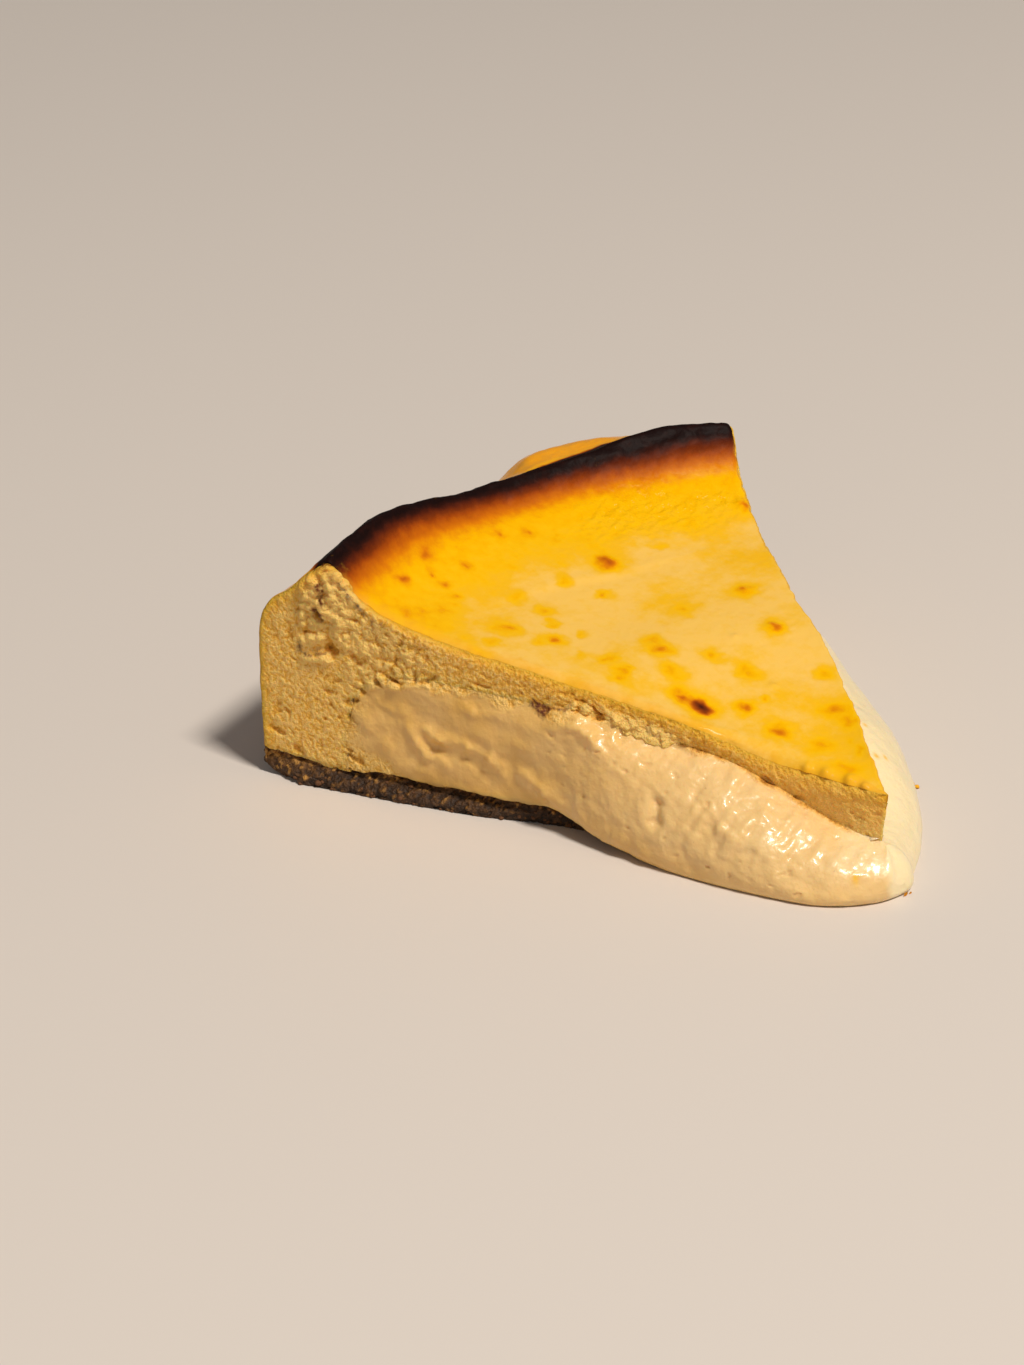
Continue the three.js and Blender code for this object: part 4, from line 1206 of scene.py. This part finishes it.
def molten_material():
    """Molten custard: thick wet cream that lets light in, with a clear gloss. It is set and dull
    where it meets the crumb, and a deeper yellow partly where it has cooked longer and partly as
    painted shade where it lies in shade."""
    material, tree, shader = material_of(
        "molten_custard", IOR=1.4, Coat_Roughness=0.12,
        Subsurface_Scale=1.0, Subsurface_Radius=(0.003, 0.002, 0.001),
    )
    place = add(tree, "ShaderNodeTexCoord", {}).outputs["Object"]
    porous, paler, high, fleck, char = (
        add(tree, "ShaderNodeAttribute", {}, attribute_name=name).outputs["Fac"]
        for name in ("porous", "paler", "high", "fleck", "char")
    )
    swirls = {"Vector": place, "Scale": SWIRLS, "Detail": 3.0}
    swirl = add(tree, "ShaderNodeTexNoise", swirls).outputs["Fac"]
    grains = {"Vector": place, "Scale": GRAINS, "Detail": 3.0}
    grain = add(tree, "ShaderNodeTexNoise", grains).outputs["Fac"]
    patches = {"Vector": place, "Scale": PATCHES, "Detail": 3.0}
    patch = add(tree, "ShaderNodeTexNoise", patches).outputs["Fac"]
    shade = add(tree, "ShaderNodeMath", {0: swirl, 1: 0.4, 2: paler}, operation="MULTIPLY_ADD").outputs[0]
    cream = add(tree, "ShaderNodeValToRGB", {"Fac": shade}, stops=CREAM_COLOURS).outputs["Color"]
    colours = {0: porous, 6: cream, 7: crumb_colour(tree, grain, high)}
    plain = add(tree, "ShaderNodeMix", colours, data_type="RGBA").outputs[2]
    colours = {0: fleck, 6: plain, 7: linear(FLECK)}
    flecked = add(tree, "ShaderNodeMix", colours, data_type="RGBA").outputs[2]
    rough = add(tree, "ShaderNodeMapRange", {0: porous, 1: 0.0, 2: 1.0, 3: 0.35, 4: 0.5}).outputs[0]
    cloudy = add(tree, "ShaderNodeMapRange", {0: porous, 1: 0.0, 2: 1.0, 3: 0.3, 4: 0.12}).outputs[0]
    wet = add(tree, "ShaderNodeMapRange", {0: porous, 1: 0.0, 2: 1.0, 3: 0.35, 4: 0.0}).outputs[0]
    faint = add(tree, "ShaderNodeMath", {0: patch, 1: 0.6}, operation="MULTIPLY").outputs[0]
    height = add(tree, "ShaderNodeMix", {0: porous, 2: faint, 3: grain}, data_type="FLOAT").outputs[0]
    relief = {"Height": height, "Strength": 1.0, "Distance": 0.0007}
    tree.links.new(scorched(tree, flecked, grain, char), shader.inputs["Base Color"])
    tree.links.new(rough, shader.inputs["Roughness"])
    tree.links.new(cloudy, shader.inputs["Subsurface Weight"])
    tree.links.new(wet, shader.inputs["Coat Weight"])
    tree.links.new(add(tree, "ShaderNodeBump", relief).outputs["Normal"], shader.inputs["Normal"])
    return material


def biscuit_material():
    """Biscuit crumb pressed with butter: dark brown, dull to waxy, with lighter crumbs in it and
    a more golden outer edge."""
    material, tree, shader = material_of("biscuit_crumb", Roughness=0.55, IOR=1.45)
    place = add(tree, "ShaderNodeTexCoord", {}).outputs["Object"]
    golden = add(tree, "ShaderNodeAttribute", {}, attribute_name="golden").outputs["Fac"]
    tone = add(tree, "ShaderNodeAttribute", {}, attribute_name="tone").outputs["Fac"]
    grains = {"Vector": place, "Scale": BISCUIT_GRAINS, "Detail": 4.0}
    fine = add(tree, "ShaderNodeTexNoise", grains).outputs["Fac"]
    own = add(tree, "ShaderNodeMath", {0: fine, 1: 0.5, 2: tone}, operation="MULTIPLY_ADD").outputs[0]
    shade = add(tree, "ShaderNodeMath", {0: golden, 1: 0.25, 2: own}, operation="MULTIPLY_ADD").outputs[0]
    brown = add(tree, "ShaderNodeValToRGB", {"Fac": shade}, stops=BISCUIT_COLOURS).outputs["Color"]
    relief = {"Height": fine, "Strength": 1.0, "Distance": 0.0007}
    tree.links.new(brown, shader.inputs["Base Color"])
    tree.links.new(add(tree, "ShaderNodeBump", relief).outputs["Normal"], shader.inputs["Normal"])
    return material


def floor_material():
    """A plain pale floor with a faint soft sheen."""
    return material_of("pale_floor", Base_Color=linear("#dcd4cd"), Roughness=0.55)[0]


# The stage


def floor():
    """A plain level floor under the slice."""
    reach = 4.0
    mesh = bpy.data.meshes.new("floor")
    corners = [(-reach, -reach, 0), (reach, -reach, 0), (reach, reach, 0), (-reach, reach, 0)]
    mesh.from_pydata(corners, [], [(0, 1, 2, 3)])
    mesh.materials.append(floor_material())
    ground = bpy.data.objects.new("floor", mesh)
    bpy.context.scene.collection.objects.link(ground)


def lamp(name, towards, distance, size, power, colour):
    """A square soft lamp that shines on the slice from a direction."""
    light = bpy.data.lights.new(name, "AREA")
    light.size = size
    light.energy = power
    light.color = linear(colour)[:3]
    made = bpy.data.objects.new(name, light)
    direction = Vector(towards).normalized()
    made.location = direction * distance
    made.rotation_euler = (-direction).to_track_quat("-Z", "Y").to_euler()
    bpy.context.scene.collection.objects.link(made)


def lights():
    """A soft key high up on the right, a broad fill from the left, and a pale surround."""
    lamp("key", (0.0, -0.5, 0.866), 2.4, 0.42, 55, "#fff6ea")
    lamp("fill", (-0.7, -0.6, 0.4), 1.6, 1.0, 1.2, "#fff2e2")
    world = bpy.data.worlds.new("surround")
    world.use_nodes = True
    backdrop = world.node_tree.nodes["Background"]
    backdrop.inputs["Color"].default_value = linear("#f3f0ee")
    backdrop.inputs["Strength"].default_value = 0.17
    bpy.context.scene.world = world
    bpy.context.scene.view_settings.view_transform = "Standard"


def camera():
    """A 100 mm lens at the photograph's angle."""
    made = bpy.data.objects.new("camera", bpy.data.cameras.new("camera"))
    made.data.lens = 100
    made.data.sensor_width = 36
    made.data.clip_start = 0.01
    made.location = (-0.4234, -0.4567, 0.3172)
    made.rotation_euler = Vector((0.5831, 0.6876, -0.4329)).to_track_quat("-Z", "Y").to_euler()
    bpy.context.scene.collection.objects.link(made)
    bpy.context.scene.camera = made


custard = baked_custard()
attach(custard, "root")
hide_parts("baked_custard")

skin = baked_skin()
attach(skin, "root")
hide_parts("baked_custard")

molten = molten_centre()
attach(molten, "root")
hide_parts("molten_centre")

base, base_places = biscuit_base()
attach(base, "root")
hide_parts("biscuit_base")

for crumbs, slot in ((base_crumbs(base_places), "biscuit_crumb"), (custard_crumbs(), "set_custard")):
    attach(crumbs, "root")

floor()
lights()
camera()
